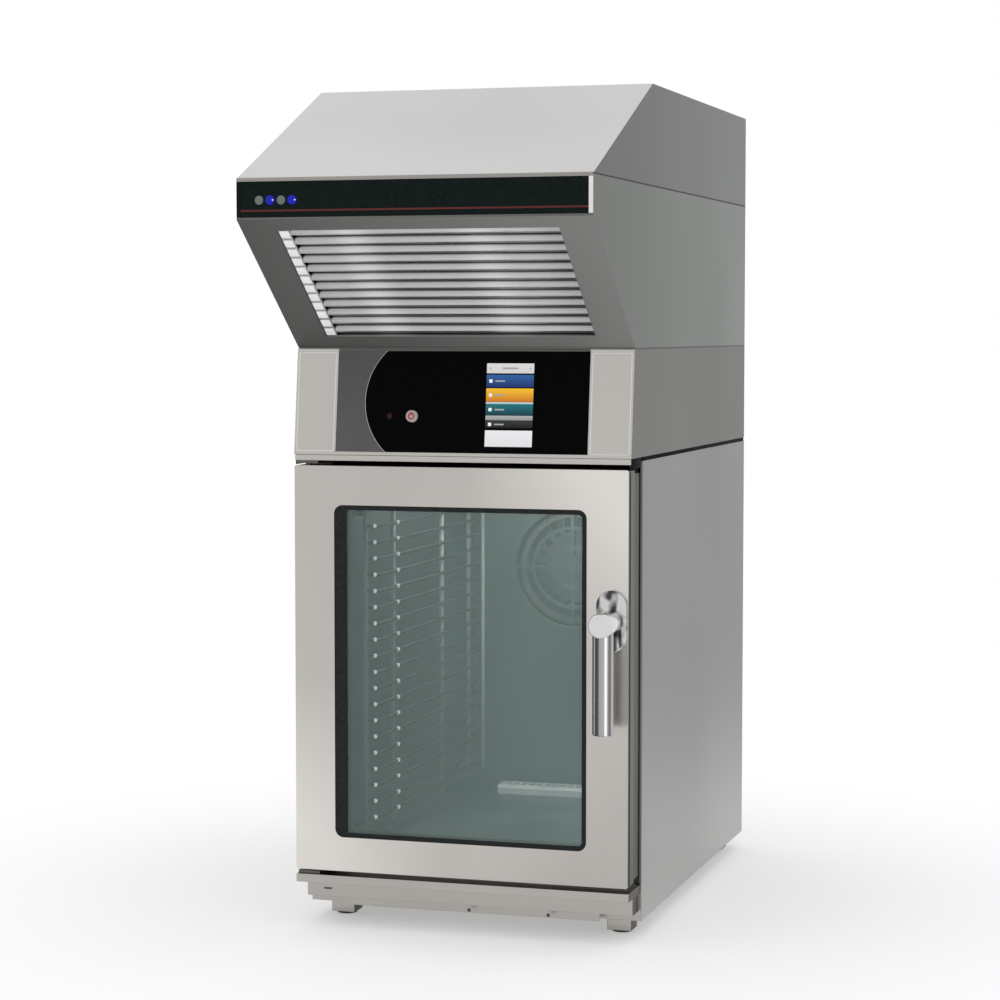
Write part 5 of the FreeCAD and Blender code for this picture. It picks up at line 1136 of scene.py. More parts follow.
bmesh.ops.rotate(rim, verts=section, cent=(0, 0, 0), matrix=Matrix.Rotation(-half_angle, 3, "Z"))
bmesh.ops.spin(rim, geom=[start] + list(start.edges) + section, cent=(0, 0, 0), axis=(0, 0, 1),
               angle=2 * half_angle, steps=ARC_STEPS)
bmesh.ops.transform(rim, matrix=arc_place, verts=rim.verts)
finish_piece("insert_rim", rim, "cabinet", pipe_steel)
strip = bmesh.new()
strip_place = on_control_front(0.0, OPENING_HIGH + STRIP_HEIGHT * STRIP_SHIFT, STRIP_OUT)
rounded_plate(strip, STRIP_WIDTH, STRIP_HEIGHT, STRIP_CORNER, STRIP_THICK, strip_place, STRIP_EDGE,
              segments=3)
finish_piece("upper_strip", strip, "cabinet", dark_steel)

# %% [markdown]
# ## The picture on the screen
# The screen shows a pale header, coloured bars and a pale field. Each bar is a thin plate with its own light,
# brighter towards its upper edge, as such buttons are drawn.

# %% Screen picture
DISPLAY_LEFT = 37 * MM
DISPLAY_WIDTH = 72 * MM
DISPLAY_LOW = 10.9 * MM
DISPLAY_HEIGHT = 125.4 * MM
DISPLAY_RECESS = 0.3 * MM
BAR_PLAY, BAR_CORNER = 0.6 * MM, 0.8 * MM
BAR_THICK, BAR_EDGE = 0.2 * MM, 0.05 * MM
SCREEN_BASE = (0.01, 0.01, 0.01, 1.0)
SCREEN_STRENGTH, SCREEN_GLOSS, SCREEN_SHINE = 0.9, 0.15, 0.05
SCREEN_BARS = [
    # name, lower end and upper end as shares of the height, lighter and darker colour
    ("header", 0.885, 1.0, (0.78, 0.77, 0.76), (0.72, 0.71, 0.71)),
    ("blue_bar", 0.722, 0.868, (0.030, 0.130, 0.370), (0.010, 0.028, 0.150)),
    ("orange_bar", 0.553, 0.710, (1.0, 0.58, 0.03), (0.66, 0.19, 0.015)),
    ("pale_edge", 0.529, 0.550, (0.62, 0.78, 0.80), (0.45, 0.62, 0.66)),
    ("teal_bar", 0.400, 0.526, (0.012, 0.180, 0.220), (0.006, 0.050, 0.070)),
    ("pale_strip", 0.340, 0.394, (0.48, 0.49, 0.49), (0.30, 0.31, 0.31)),
    ("dark_bar", 0.250, 0.333, (0.040, 0.042, 0.045), (0.006, 0.006, 0.007)),
    ("field", 0.0, 0.222, (0.90, 0.90, 0.92), (0.80, 0.80, 0.83)),
]


def screen_light(name, light, dark, low, high):
    """A lit colour that fades from its upper to its lower edge."""
    finish, shader = start_finish(name)
    colour = tinted(finish, along(finish, "Z", low, high), dark, light, 0.0, 1.0)
    join(finish, colour, shader.inputs["Emission Color"])
    shader.inputs["Emission Strength"].default_value = SCREEN_STRENGTH
    shader.inputs["Base Color"].default_value = SCREEN_BASE
    shader.inputs["Roughness"].default_value = SCREEN_GLOSS
    shader.inputs["Specular IOR Level"].default_value = SCREEN_SHINE
    return finish


for bar_name, low_share, high_share, light, dark in SCREEN_BARS:
    low, high = DISPLAY_LOW + DISPLAY_HEIGHT * low_share, DISPLAY_LOW + DISPLAY_HEIGHT * high_share
    low_z, top_z = (fascia_foot.z + math.cos(FASCIA_LEAN) * up for up in (low, high))
    bar = bmesh.new()
    bar_place = on_control_front(DISPLAY_LEFT + DISPLAY_WIDTH / 2, (low + high) / 2, -DISPLAY_RECESS)
    rounded_plate(bar, DISPLAY_WIDTH - BAR_PLAY, high - low, BAR_CORNER, BAR_THICK, bar_place, BAR_EDGE,
                  segments=3)
    bar_light = screen_light("screen_" + bar_name, light, dark, low_z, top_z)
    finish_piece("screen_" + bar_name, bar, "cabinet", bar_light)

# %% [markdown]
# ## Signs on the screen
# The bars carry a small pale square and a stroke, and the header a grey stroke between two grey squares. They
# are thin plates just in front of the bars, all in one piece for each colour.

# %% Screen signs
SIGN_SIZE, SIGN_CORNER, SIGN_THICK = 5 * MM, 1.2 * MM, 0.08 * MM
SIGN_INSET, SIGN_RECESS = 7 * MM, 0.1 * MM
STROKE_WIDTH, STROKE_HEIGHT = 15 * MM, 2.2 * MM
STROKE_CORNER, STROKE_THICK = 1.0 * MM, 0.06 * MM
HEADER_HEIGHT, HEADER_CORNER = STROKE_HEIGHT * 1.2, 0.8 * MM
HEADER_SIGNS = ((0.08, SIGN_SIZE / 2), (0.5, STROKE_WIDTH * 1.6), (0.92, SIGN_SIZE / 2))


def screen_sign(shape, width, height, corner, thickness, x, up):
    """A small plate at a distance from the left end of the screen."""
    place = on_control_front(DISPLAY_LEFT + x, up, -SIGN_RECESS)
    rounded_plate(shape, width, height, corner, thickness, place, segments=4)


pale_signs, grey_signs = bmesh.new(), bmesh.new()
for bar_name, low_share, high_share, *_ in SCREEN_BARS:
    up = DISPLAY_LOW + DISPLAY_HEIGHT * (low_share + high_share) / 2
    if bar_name.endswith("bar"):
        screen_sign(pale_signs, SIGN_SIZE, SIGN_SIZE, SIGN_CORNER, SIGN_THICK, SIGN_INSET, up)
        screen_sign(grey_signs, STROKE_WIDTH, STROKE_HEIGHT, STROKE_CORNER, STROKE_THICK, SIGN_INSET * 3, up)
    if bar_name == "header":
        for share, width in HEADER_SIGNS:
            screen_sign(grey_signs, width, HEADER_HEIGHT, HEADER_CORNER, STROKE_THICK,
                        DISPLAY_WIDTH * share, up)
finish_piece("screen_signs", pale_signs, "cabinet", lit("sign_white", (0.82, 0.82, 0.82), 0.85))
finish_piece("screen_strokes", grey_signs, "cabinet", lit("stroke_grey", (0.34, 0.36, 0.40), 0.8))

# %% [markdown]
# ## The power button
# The power button is a domed cap with a fine rim. It sits in the same place as its solid and rides on the
# moving body, so it goes in when it is pressed. It carries the common mark of a ring with a stroke.

# %% Power button
POWER_X = -76 * MM
BUTTON_UP = 58.3 * MM
BUTTON_PROUD = 1.2 * MM
POWER_RADIUS, POWER_HEIGHT, POWER_DOME = 8.6 * MM, 7.0 * MM, 0.2 * MM
MARK_SIZE, MARK_RING, MARK_THICK = 10.5 * MM, 2.0 * MM, 0.15 * MM
MARK_OUT = 0.1 * MM
STEM_WIDTH, STEM_HEIGHT, STEM_UP = 1.7 * MM, MARK_SIZE * 0.55, MARK_SIZE * 0.3
STEM_CORNER, STEM_THICK = 0.6 * MM, 0.2 * MM
power_pale = lit("power_pale", (0.46, 0.36, 0.36), 0.62, 0.25)
mark_red = lit("mark_red", (0.32, 0.035, 0.045), 0.7, 0.25)


def domed_cap(radius, height, dome):
    """Profile of a cap with a rounded rim and a shallow dome."""
    return [(0.0, 0.0), (radius, 0.0), (radius, height - 0.7 * MM),
            (radius - 0.25 * MM, height - 0.25 * MM), (radius - 0.8 * MM, height),
            (radius * 0.6, height + dome * 0.7), (radius * 0.3, height + dome * 0.93),
            (0.0, height + dome)]


power = bmesh.new()
turned(power, domed_cap(POWER_RADIUS, POWER_HEIGHT, POWER_DOME),
       on_control_front(POWER_X, BUTTON_UP, BUTTON_PROUD - POWER_HEIGHT - POWER_DOME), steps=48)
power_piece = finish_piece("power_cap", power, "power", power_pale)
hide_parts("power_button")
mark = bmesh.new()
flat_ring(mark, MARK_SIZE, MARK_SIZE, MARK_SIZE * NEARLY_HALF, MARK_RING, MARK_THICK,
          on_control_front(POWER_X, BUTTON_UP, BUTTON_PROUD + MARK_OUT), segments=10)
rounded_plate(mark, STEM_WIDTH, STEM_HEIGHT, STEM_CORNER, STEM_THICK,
              on_control_front(POWER_X, BUTTON_UP + STEM_UP, BUTTON_PROUD), segments=4)
finish_piece("power_mark", mark, "power", mark_red)

# %% [markdown]
# ## The status lens
# A small dark red lens sits to the left of the power button. It is turned from the same profile.

# %% Status lens
STATUS_X = -110 * MM
STATUS_RADIUS, STATUS_HEIGHT, STATUS_DOME = 4.5 * MM, 4.0 * MM, 0.3 * MM
status_red = lit("status_red", (0.022, 0.003, 0.0035), 0.6, 0.12)
status = bmesh.new()
turned(status, domed_cap(STATUS_RADIUS, STATUS_HEIGHT, STATUS_DOME),
       on_control_front(STATUS_X, BUTTON_UP, -STATUS_HEIGHT), steps=36)
status_piece = finish_piece("status_dome", status, "cabinet", status_red)
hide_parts("status_lens")

# %% [markdown]
# ## Buttons on the hood's nose
# Two blue buttons and two grey lenses sit side by side on the black nose. They share one profile with the
# power button, and the blue ones ride on bodies of their own. A small glowing dome at the right of each blue
# button is a painted glint.

# %% Hood buttons
CAP_RADIUS = 6.5 * MM
CAP_DOME = 0.3 * MM
PIP_RADIUS, PIP_HEIGHT, PIP_DOME = 1.5 * MM, 1.0 * MM, 0.05 * MM
PIP_SHIFT = 4.4 * MM
LENS_FLANGE = 7.7 * MM
lit_blue = lit("lit_blue", (0.008, 0.012, 0.36), 0.9, 0.15)
painted_glint_white = lit("painted_glint_white", (0.80, 0.82, 0.85), 0.85, 0.15)
lens_grey = grained("lens_grey", (0.110, 0.130, 0.130), 0.18, 1.0 * MM, 0.01 * MM, 0.1, 0.4)
for name, body in (("hood_button_left", "hood_left"), ("hood_button_right", "hood_right")):
    low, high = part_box(name)
    middle = (low + high) / 2
    cap = bmesh.new()
    turned(cap, domed_cap(CAP_RADIUS, high.y - low.y - CAP_DOME, CAP_DOME),
           facing_front(middle.x, high.y, middle.z))
    piece = finish_piece(name + "_cap", cap, body, lit_blue)
    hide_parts(name)
    # Painted glint: a small white glowing dome at the right of the button.
    pip = bmesh.new()
    turned(pip, domed_cap(PIP_RADIUS, PIP_HEIGHT, PIP_DOME),
           facing_front(middle.x + PIP_SHIFT, low.y + PIP_HEIGHT + PIP_DOME, middle.z), steps=20)
    finish_piece(name + "_pip", pip, body, painted_glint_white)

lens_low, lens_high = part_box("hood_lenses")
lenses = bmesh.new()
for x in (lens_low.x + LENS_FLANGE, lens_high.x - LENS_FLANGE):
    turned(lenses, domed_cap(CAP_RADIUS, lens_high.y - lens_low.y, CAP_DOME),
           facing_front(x, lens_high.y, (lens_low.z + lens_high.z) / 2))
lens_piece = finish_piece("hood_lens_domes", lenses, "cabinet", lens_grey)
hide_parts("hood_lenses")

# %% [markdown]
# ## The nose of the hood
# A thin dark red line runs along the lower edge of the black nose. The black runs to the left end, where a
# narrow end plate covers the steel, and a bright steel end plate closes the right. All are thin plates laid
# on the nose.

# %% Nose
LINE_HEIGHT, LINE_THICK = 2.6 * MM, 0.25 * MM
LINE_CORNER, LINE_EDGE = 0.4 * MM, 0.08 * MM
LINE_UP, LINE_PLAY = 9 * MM, 1 * MM
NOSE_WING = 3.8 * MM
END_WIDTH, END_THICK = 6.2 * MM, 0.6 * MM
END_CORNER, END_EDGE, END_PLAY = 0.6 * MM, 0.2 * MM, 0.1 * MM
nose_low, nose_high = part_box("hood_fascia")
nose_z = (nose_low.z + nose_high.z) / 2
nose_tall = nose_high.z - nose_low.z
red_enamel = grained("red_enamel", (0.085, 0.010, 0.010), 0.30, 0.8 * MM, 0.01 * MM)
line = bmesh.new()
line_length = nose_high.x - nose_low.x - 2 * NOSE_WING - LINE_PLAY
rounded_plate(line, line_length, LINE_HEIGHT, LINE_CORNER, LINE_THICK,
              facing_front(0.0, nose_low.y, nose_low.z + LINE_UP), LINE_EDGE, segments=3)
finish_piece("nose_line", line, "cabinet", red_enamel)
for name, sign, finish, slot in (("nose_end_left", -1.0, nose_black, "black_gloss"),
                                 ("nose_end_right", 1.0, trim_steel, "steel")):
    end = bmesh.new()
    end_x = sign * (body_high.x - END_WIDTH / 2 - END_PLAY)
    rounded_plate(end, END_WIDTH, nose_tall, END_CORNER, END_THICK,
                  facing_front(end_x, body_low.y, nose_z), END_EDGE, segments=3)
    finish_piece(name, end, "cabinet", finish)

# %% [markdown]
# ## The hem of the cap
# Above the black nose, the edge of the cap is folded over as a hem. Its darker steel is painted shade under
# the fold.

# %% Cap hem
HEM_HEIGHT, HEM_PROUD, HEM_LIFT = 5.4 * MM, 0.9 * MM, 1.2 * MM
HEM_INSET, HEM_LAP, HEM_EDGE = 0.2 * MM, 0.3 * MM, 0.4 * MM
hem = bmesh.new()
hem_top = cap_low.z + HEM_LIFT
block(hem, (body_low.x + HEM_INSET, body_low.y - HEM_PROUD, hem_top - HEM_HEIGHT),
      (body_high.x - HEM_INSET, body_low.y + HEM_LAP, hem_top), HEM_EDGE)
finish_piece("cap_hem", hem, "cabinet", hem_steel)

# %% [markdown]
# ## Painted highlights in the filter's slots
# The left end strip of the filter has a row of square slots, and the end of each louvre stands in its slot.
# Its near-white colour is a painted highlight. Each is a small plate with rounded corners, laid out on the
# flat and then turned onto the slope with all the others.

# %% Filter tabs
SLOPE_FOOT = Vector((0.0, -0.2819, 0.866))
FILTER_LOW, FILTER_LONG = 27 * MM, 244.4 * MM
LOUVRES = 12
TAB_WIDTH, TAB_HEIGHT, TAB_THICK = 14.5 * MM, 15.0 * MM, 1.2 * MM
TAB_CORNER, TAB_EDGE, TAB_RECESS = 1.5 * MM, 0.5 * MM, 1.45 * MM
TAB_X = filter_low.x + 14.8 * MM
tab_highlight_white = grained("tab_highlight_white", (0.88, 0.88, 0.88), 0.25, 1.0 * MM, 0.01 * MM, shine=0.5)
tabs = bmesh.new()
for step in range(LOUVRES):
    up = FILTER_LOW + FILTER_LONG / LOUVRES * (step + 0.5)
    tab_place = leaning_place(SLOPE_FOOT, SLOPE_TURN, TAB_X, up, -TAB_RECESS)
    rounded_plate(tabs, TAB_WIDTH, TAB_HEIGHT, TAB_CORNER, TAB_THICK, tab_place, TAB_EDGE, segments=4)
finish_piece("filter_tabs", tabs, "cabinet", tab_highlight_white)

# %% [markdown]
# ## Lip and frame trim
# Below the control front a narrow steel lip covers the gap to the cabinet. A flat grey ring round the edge of
# the cabinet's front frame is painted shade: it shows as the dark gap beside the closed door.

# %% Lip and trim
LIP_HEIGHT, LIP_DEPTH, LIP_EDGE = 8.5 * MM, 6 * MM, 0.8 * MM
LIP_INSET, LIP_SETBACK, LIP_LAP = 1 * MM, 0.8 * MM, 0.2 * MM
TRIM_WIDTH, TRIM_THICK, TRIM_CORNER = 18 * MM, 0.8 * MM, 4 * MM
TRIM_PLAY, TRIM_DROP = 4 * MM, 1 * MM
TRIM_BELOW_DOOR = 10 * MM
frame_low, frame_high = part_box("front_frame")
lip = bmesh.new()
block(lip, (fascia_low.x + LIP_INSET, fascia_low.y + LIP_SETBACK, fascia_low.z - LIP_HEIGHT),
      (fascia_high.x - LIP_INSET, fascia_low.y + LIP_DEPTH, fascia_low.z + LIP_LAP), LIP_EDGE)
finish_piece("panel_lip", lip, "cabinet", control_steel)
# Painted shade: a grey ring round the front frame that darkens the gap beside the door.
trim = bmesh.new()
trim_tall = frame_high.z - skin_low.z + TRIM_BELOW_DOOR
flat_ring(trim, frame_high.x - frame_low.x - TRIM_PLAY, trim_tall, TRIM_CORNER, TRIM_WIDTH, TRIM_THICK,
          facing_front(0.0, frame_low.y - TRIM_THICK, frame_high.z - TRIM_DROP - trim_tall / 2),
          segments=5)
finish_piece("frame_shade_ring", trim, "cabinet", seal_and_shade_grey)

# %% [markdown]
# ## Flanges beside the door
# The sheet round the oven's mouth is folded forward along both sides, so only a fine gap is left behind the
# closed door. The flanges stand outside the width of the door and of the latch, which swing past them. Their
# dark steel is painted shade in that gap.

# %% Door flanges
FLANGE_DEPTH = 8.6 * MM
FLANGE_INSET, FLANGE_EDGE = 0.2 * MM, 0.3 * MM
FLANGE_BELOW_DOOR = 4 * MM
flange_x = frame_high.x - FLANGE_INSET
flanges = bmesh.new()
mirrored_blocks(flanges, flange_x, flange_x - SHEET,
                (frame_low.y - FLANGE_DEPTH, skin_low.z - FLANGE_BELOW_DOOR),
                (frame_low.y + FLANGE_INSET, frame_high.z - SHEET), FLANGE_EDGE)
finish_piece("frame_flanges", flanges, "cabinet", dark_steel)

# %% [markdown]
# ## Side seals of the door
# A strip of grey rubber is glued along both sides of the door's inner sheet. It fills the step behind the
# outer skin, and reaches a little behind the door, short of the latch. It moves with the door.

# %% Side seals
SIDE_SEAL_INSET, SIDE_SEAL_EDGE = 0.4 * MM, 0.5 * MM
SIDE_SEAL_REACH = 6.3 * MM
SIDE_SEAL_ENDS = 3 * MM
inner_low, inner_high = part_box("door_liner")
side_seals = bmesh.new()
mirrored_blocks(side_seals, inner_high.x, skin_high.x - SIDE_SEAL_INSET,
                (skin_high.y, inner_low.z + SIDE_SEAL_ENDS),
                (inner_high.y + SIDE_SEAL_REACH, inner_high.z - SIDE_SEAL_ENDS), SIDE_SEAL_EDGE)
finish_piece("door_side_seals", side_seals, "door", seal_and_shade_grey)

# %% [markdown]
# ## Ends of the gap above the door
# Under the overhang of the control housing, a dark plate on each side closes the end of the gap above the
# door, as painted shade in that gap. It hangs from the housing and stops just above the door's upper edge.

# %% Gap ends
DOOR_PLAY, FLANGE_PLAY = 1 * MM, 0.4 * MM
housing_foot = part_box("control_housing")[0].z
gap_ends = bmesh.new()
# Painted shade: black plates at the ends of the gap above the door.
mirrored_blocks(gap_ends, flange_x, flange_x - SHEET,
                (fascia_low.y + LIP_DEPTH, skin_high.z + DOOR_PLAY),
                (frame_low.y - FLANGE_DEPTH - FLANGE_PLAY, housing_foot), FLANGE_EDGE)
finish_piece("gap_ends", gap_ends, "cabinet", rail_paint)

# %% [markdown]
# ## Black strips under the control housing
# The control housing stands on a rail on top of the cabinet, and a black strip fills the gap round that rail.
# It is painted shade, and shows as a dark line on both sides and on the back.

# %% Black strips
SEAL_INSET, SEAL_EDGE = 0.7 * MM, 0.4 * MM
SEAL_PLAY = 0.05 * MM
rail_low, rail_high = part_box("housing_rail")
housing_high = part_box("control_housing")[1]
seal_low, seal_high = rail_low.z + SEAL_PLAY, rail_high.z - SEAL_PLAY
seal_back = housing_high.y - SEAL_INSET
# Painted shade: a black strip in the gap round the rail.
seals = bmesh.new()
mirrored_blocks(seals, rail_high.x, housing_high.x - SEAL_INSET, (rail_low.y, seal_low),
                (seal_back, seal_high), SEAL_EDGE)
block(seals, (rail_low.x, rail_high.y, seal_low), (rail_high.x, seal_back, seal_high), SEAL_EDGE)
finish_piece("gap_shade_strips", seals, "cabinet", rail_paint)

# %% [markdown]
# ## The joint under the hood
# The hood stands on the control housing on four flat strips of grey steel. They lie almost flush with both
# sheets, so the joint shows only as a faint line.

# %% Hood joint
JOINT_INSET = 0.3 * MM
JOINT_WIDTH = 12 * MM
JOINT_EDGE = 0.2 * MM
joint_low = Vector((body_low.x + JOINT_INSET, SLOPE_FOOT.y + JOINT_INSET, housing_high.z + SEAL_PLAY))
joint_high = Vector((body_high.x - JOINT_INSET, body_high.y - JOINT_INSET, SLOPE_FOOT.z - SEAL_PLAY))
joint = bmesh.new()
for x in (joint_low.x, joint_high.x - JOINT_WIDTH):
    block(joint, (x, joint_low.y, joint_low.z), (x + JOINT_WIDTH, joint_high.y, joint_high.z), JOINT_EDGE)
for y in (joint_low.y, joint_high.y - JOINT_WIDTH):
    block(joint, (joint_low.x + JOINT_WIDTH, y, joint_low.z),
          (joint_high.x - JOINT_WIDTH, y + JOINT_WIDTH, joint_high.z), JOINT_EDGE)
finish_piece("hood_joint", joint, "cabinet", joint_steel)

# %% [markdown]
# ## Screw heads
# Sheet metal is held by pan-head screws with a round recess. One profile serves them all. It has few points,
# because the oven carries many of them.

# %% Screw helper
SCREW_RADIUS = 4.2 * MM
SCREW_HEIGHT = 2.2 * MM
SCREW_SIDES = 12


def screw_head(shape, place, size=1.0):
    """A pan head with a recess, its foot on the local XY plane."""
    radius, height = SCREW_RADIUS * size, SCREW_HEIGHT * size
    turned(shape, [(0.0, height * 0.45), (radius * 0.36, height * 0.45), (radius * 0.42, height),
                   (radius * 0.72, height), (radius * 0.93, height * 0.6), (radius, 0.0)],
           place, SCREW_SIDES)


print("screw heads:", round(2000 * SCREW_RADIUS, 1), "mm across")

# %% [markdown]
# ## The plinth
# Small plates close the open ends of the plinth. Two dark screws hold its lower rail, and a short dark plate
# at the left stands for the slot that lets the drip tray drain, as painted shade of the opening.

# %% Plinth
END_PLATE, END_SETBACK, END_PLATE_EDGE = 1.5 * MM, 0.5 * MM, 0.2 * MM
RAIL_HEIGHT = 15 * MM
PLINTH_SCREWS = ((3 * MM, 33 * MM), (125 * MM, 33 * MM))
PLINTH_SCREW_SIZE = 0.65
DRAIN_X, DRAIN_Z = -220 * MM, 52 * MM
DRAIN_WIDTH, DRAIN_HEIGHT = 13 * MM, 3 * MM
DRAIN_CORNER, DRAIN_THICK = 1.4 * MM, 0.3 * MM
plinth_low, plinth_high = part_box("plinth_panel")
ends = bmesh.new()
for x in (plinth_low.x, plinth_high.x - END_PLATE):
    block(ends, (x, plinth_low.y + END_SETBACK, plinth_low.z + RAIL_HEIGHT),
          (x + END_PLATE, plinth_high.y, plinth_high.z), END_PLATE_EDGE)
finish_piece("plinth_ends", ends, "cabinet", base_steel)
fixings = bmesh.new()
for x, z in PLINTH_SCREWS:
    screw_head(fixings, facing_front(x, plinth_low.y, z), PLINTH_SCREW_SIZE)
# Painted shade: a thin dark plate stands for the drain slot.
rounded_plate(fixings, DRAIN_WIDTH, DRAIN_HEIGHT, DRAIN_CORNER, DRAIN_THICK,
              facing_front(DRAIN_X, plinth_low.y, DRAIN_Z), segments=5)
finish_piece("plinth_fixings", fixings, "cabinet", dark_steel)

# %% [markdown]
# ## Levelling feet
# Each foot is a square block with a pad under it. The block hides the thread, and the black pad keeps it from
# slipping. The blocks at the front are steel, and those at the back are black.

# %% Feet
FOOT_RADIUS = 18.5 * MM
FOOT_CORNER, FOOT_EDGE = 2 * MM, 0.8 * MM
PAD_RADIUS, PAD_HEIGHT = 15.5 * MM, 4 * MM
PAD_PROFILE = [(0.0, 0.0), (PAD_RADIUS - 1.5 * MM, 0.0), (PAD_RADIUS, 1 * MM), (PAD_RADIUS, PAD_HEIGHT),
               (0.0, PAD_HEIGHT)]
feet_low, feet_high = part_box("leveling_feet")
foot_blocks, foot_pads = bmesh.new(), bmesh.new()
for x in (feet_low.x + FOOT_RADIUS, feet_high.x - FOOT_RADIUS):
    for y in (feet_low.y + FOOT_RADIUS, feet_high.y - FOOT_RADIUS):
        blocks = foot_blocks if y < 0 else foot_pads
        rounded_plate(blocks, 2 * FOOT_RADIUS, 2 * FOOT_RADIUS, FOOT_CORNER, plinth_low.z - PAD_HEIGHT,
                      Matrix.Translation((x, y, PAD_HEIGHT)), FOOT_EDGE, segments=4)
        turned(foot_pads, PAD_PROFILE, Matrix.Translation((x, y, 0.0)), steps=32)
block_piece = finish_piece("foot_blocks", foot_blocks, "cabinet", base_steel)
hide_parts("leveling_feet")
finish_piece("foot_pads", foot_pads, "cabinet", foot_plastic)

# %% [markdown]
# ## Rolled edges of the fan baffle
# The sheet in front of the fan has its two upright edges rolled over. Their pale colour is a painted
# highlight, the bright line they show at the back of the oven.

# %% Baffle edges
ROLL_RADIUS, ROLL_EDGE, ROLL_BACK = 3 * MM, 0.9 * MM, 1.8 * MM
baffle_low, baffle_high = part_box("fan_baffle")
rolled = bmesh.new()
for x in (baffle_low.x + ROLL_RADIUS, baffle_high.x - ROLL_RADIUS):
    rod(rolled, ROLL_RADIUS, baffle_high.z - baffle_low.z, ROLL_EDGE,
        Matrix.Translation((x, baffle_low.y + ROLL_BACK, baffle_low.z)))
finish_piece("baffle_edges", rolled, "cabinet", edge_highlight_pale, ROUND_FOLD)

# %% [markdown]
# ## Screws on the back
# The back of the oven is screwed on along its edges, and so are the backs of the control housing and the
# hood.

# %% Back screws
back_y = panel_high.y + SHEET
EDGE_X = 247 * MM
PANEL_ROWS = (45 * MM, 205 * MM, 365 * MM, 525 * MM, 685 * MM)
SHELL_ROWS = (726 * MM, 846 * MM, 886 * MM, 984 * MM, 1086 * MM, 1118 * MM, 1232 * MM)
CROSS_ROWS = (40 * MM, 690 * MM)
CROSS_X = (-124 * MM, 0.0, 124 * MM)
SCREW_FOLD = 40.0
screws = bmesh.new()
for z in PANEL_ROWS + SHELL_ROWS:
    for x in (-EDGE_X, EDGE_X):
        screw_head(screws, facing_back(x, back_y, z))
for z in CROSS_ROWS:
    for x in CROSS_X:
        screw_head(screws, facing_back(x, back_y, z))
finish_piece("back_screws", screws, "cabinet", wire_steel, SCREW_FOLD)

# %% [markdown]
# ## Louvres over the cooling slots
# Water that runs down the back must not get into the cooling slots, so a small pressed hood sits above each
# slot. It is a long plate with round ends and a deep bevel, which leaves a soft, half-round form.

# %% Back louvres
SLOTS = 8
SLOT_LOW, SLOT_SPREAD, SLOT_TALL = 436 * MM, 110 * MM, 6 * MM
HOOD_WIDTH, HOOD_TALL, HOOD_PROUD = 186 * MM, 6.4 * MM, 3.6 * MM
HOOD_LAP, HOOD_BEVEL = 0.8 * MM, 2.4 * MM
HOOD_FOLD = 60.0
hoods = bmesh.new()
for step in range(SLOTS):
    slot_top = SLOT_LOW + SLOT_SPREAD / (SLOTS - 1) * step + SLOT_TALL
    rounded_plate(hoods, HOOD_WIDTH, HOOD_TALL, HOOD_TALL * NEARLY_HALF, HOOD_PROUD,
                  facing_back(0.0, back_y, slot_top + HOOD_TALL / 2 - HOOD_LAP), HOOD_BEVEL)
finish_piece("slot_hoods", hoods, "cabinet", panel_steel, HOOD_FOLD)

# %% [markdown]
# ## Collars on the back
# Round rubber collars seal the water and drain fittings against the sheet.

# %% Back collars
COLLARS = ((137.5 * MM, 90 * MM, 21 * MM), (197.5 * MM, 90 * MM, 21 * MM), (0.0, 57.5 * MM, 28 * MM))
COLLAR_WIDTH, COLLAR_THICK, COLLAR_EDGE = 6 * MM, 1.6 * MM, 1 * MM
collars = bmesh.new()
for x, z, radius in COLLARS:
    turned(collars, [(radius - COLLAR_WIDTH, COLLAR_THICK), (radius - COLLAR_EDGE, COLLAR_THICK),
                     (radius, COLLAR_THICK * 0.4), (radius, 0.0)], facing_back(x, back_y, z))
finish_piece("pipe_collars", collars, "cabinet", seal_rubber)

# %% [markdown]
# ## A mesh under the outlet slots
# A woven guard lies just below the slots in the cap, so that nothing can fall onto the motor. A fine grid of
# quads is turned into wires by the wireframe operator.

# %% Outlet mesh
MESH_HALF_X, MESH_LOW_Y, MESH_HIGH_Y = 180 * MM, 335 * MM, 470 * MM
MESH_CELL, MESH_WIRE = 6 * MM, 0.9 * MM
mesh_width, mesh_depth = 2 * MESH_HALF_X, MESH_HIGH_Y - MESH_LOW_Y
mesh_z = cap_high.z - SHEET - 2 * MESH_WIRE
mesh_place = Matrix.Translation((0.0, (MESH_LOW_Y + MESH_HIGH_Y) / 2, mesh_z))
mesh_guard = bmesh.new()
bmesh.ops.create_grid(mesh_guard, x_segments=round(mesh_width / MESH_CELL), size=0.5,
                      y_segments=round(mesh_depth / MESH_CELL),
                      matrix=mesh_place @ Matrix.Diagonal((mesh_width, mesh_depth, 1.0, 1.0)))
bmesh.ops.wireframe(mesh_guard, faces=mesh_guard.faces[:], thickness=MESH_WIRE, use_replace=True,
                    use_boundary=True, use_even_offset=True)
finish_piece("outlet_mesh", mesh_guard, "cabinet", pipe_steel)

# %% [markdown]
# ## The room
# The picture is a product shot on white. The world gives soft light that is stronger from the front and from
# above. The camera, mirrors and glass see plain white instead, so steel keeps the tone that its finish
# gives it.

# %% World
FRONT_LIGHT, BACK_LIGHT = 0.98, 0.40
FRONT_END, BACK_END = -0.9, 0.9
TOP_LIGHT = 0.55
TOP_START, TOP_END = 0.15, 0.85


def seen_directly(owner):
    """One for rays from the camera, from mirrors and through glass."""
    rays = add_node(owner, "ShaderNodeLightPath")
    mirrored = calculated(owner, "MAXIMUM", rays.outputs["Is Camera Ray"], rays.outputs["Is Glossy Ray"])
    return calculated(owner, "MAXIMUM", mirrored, rays.outputs["Is Transmission Ray"])


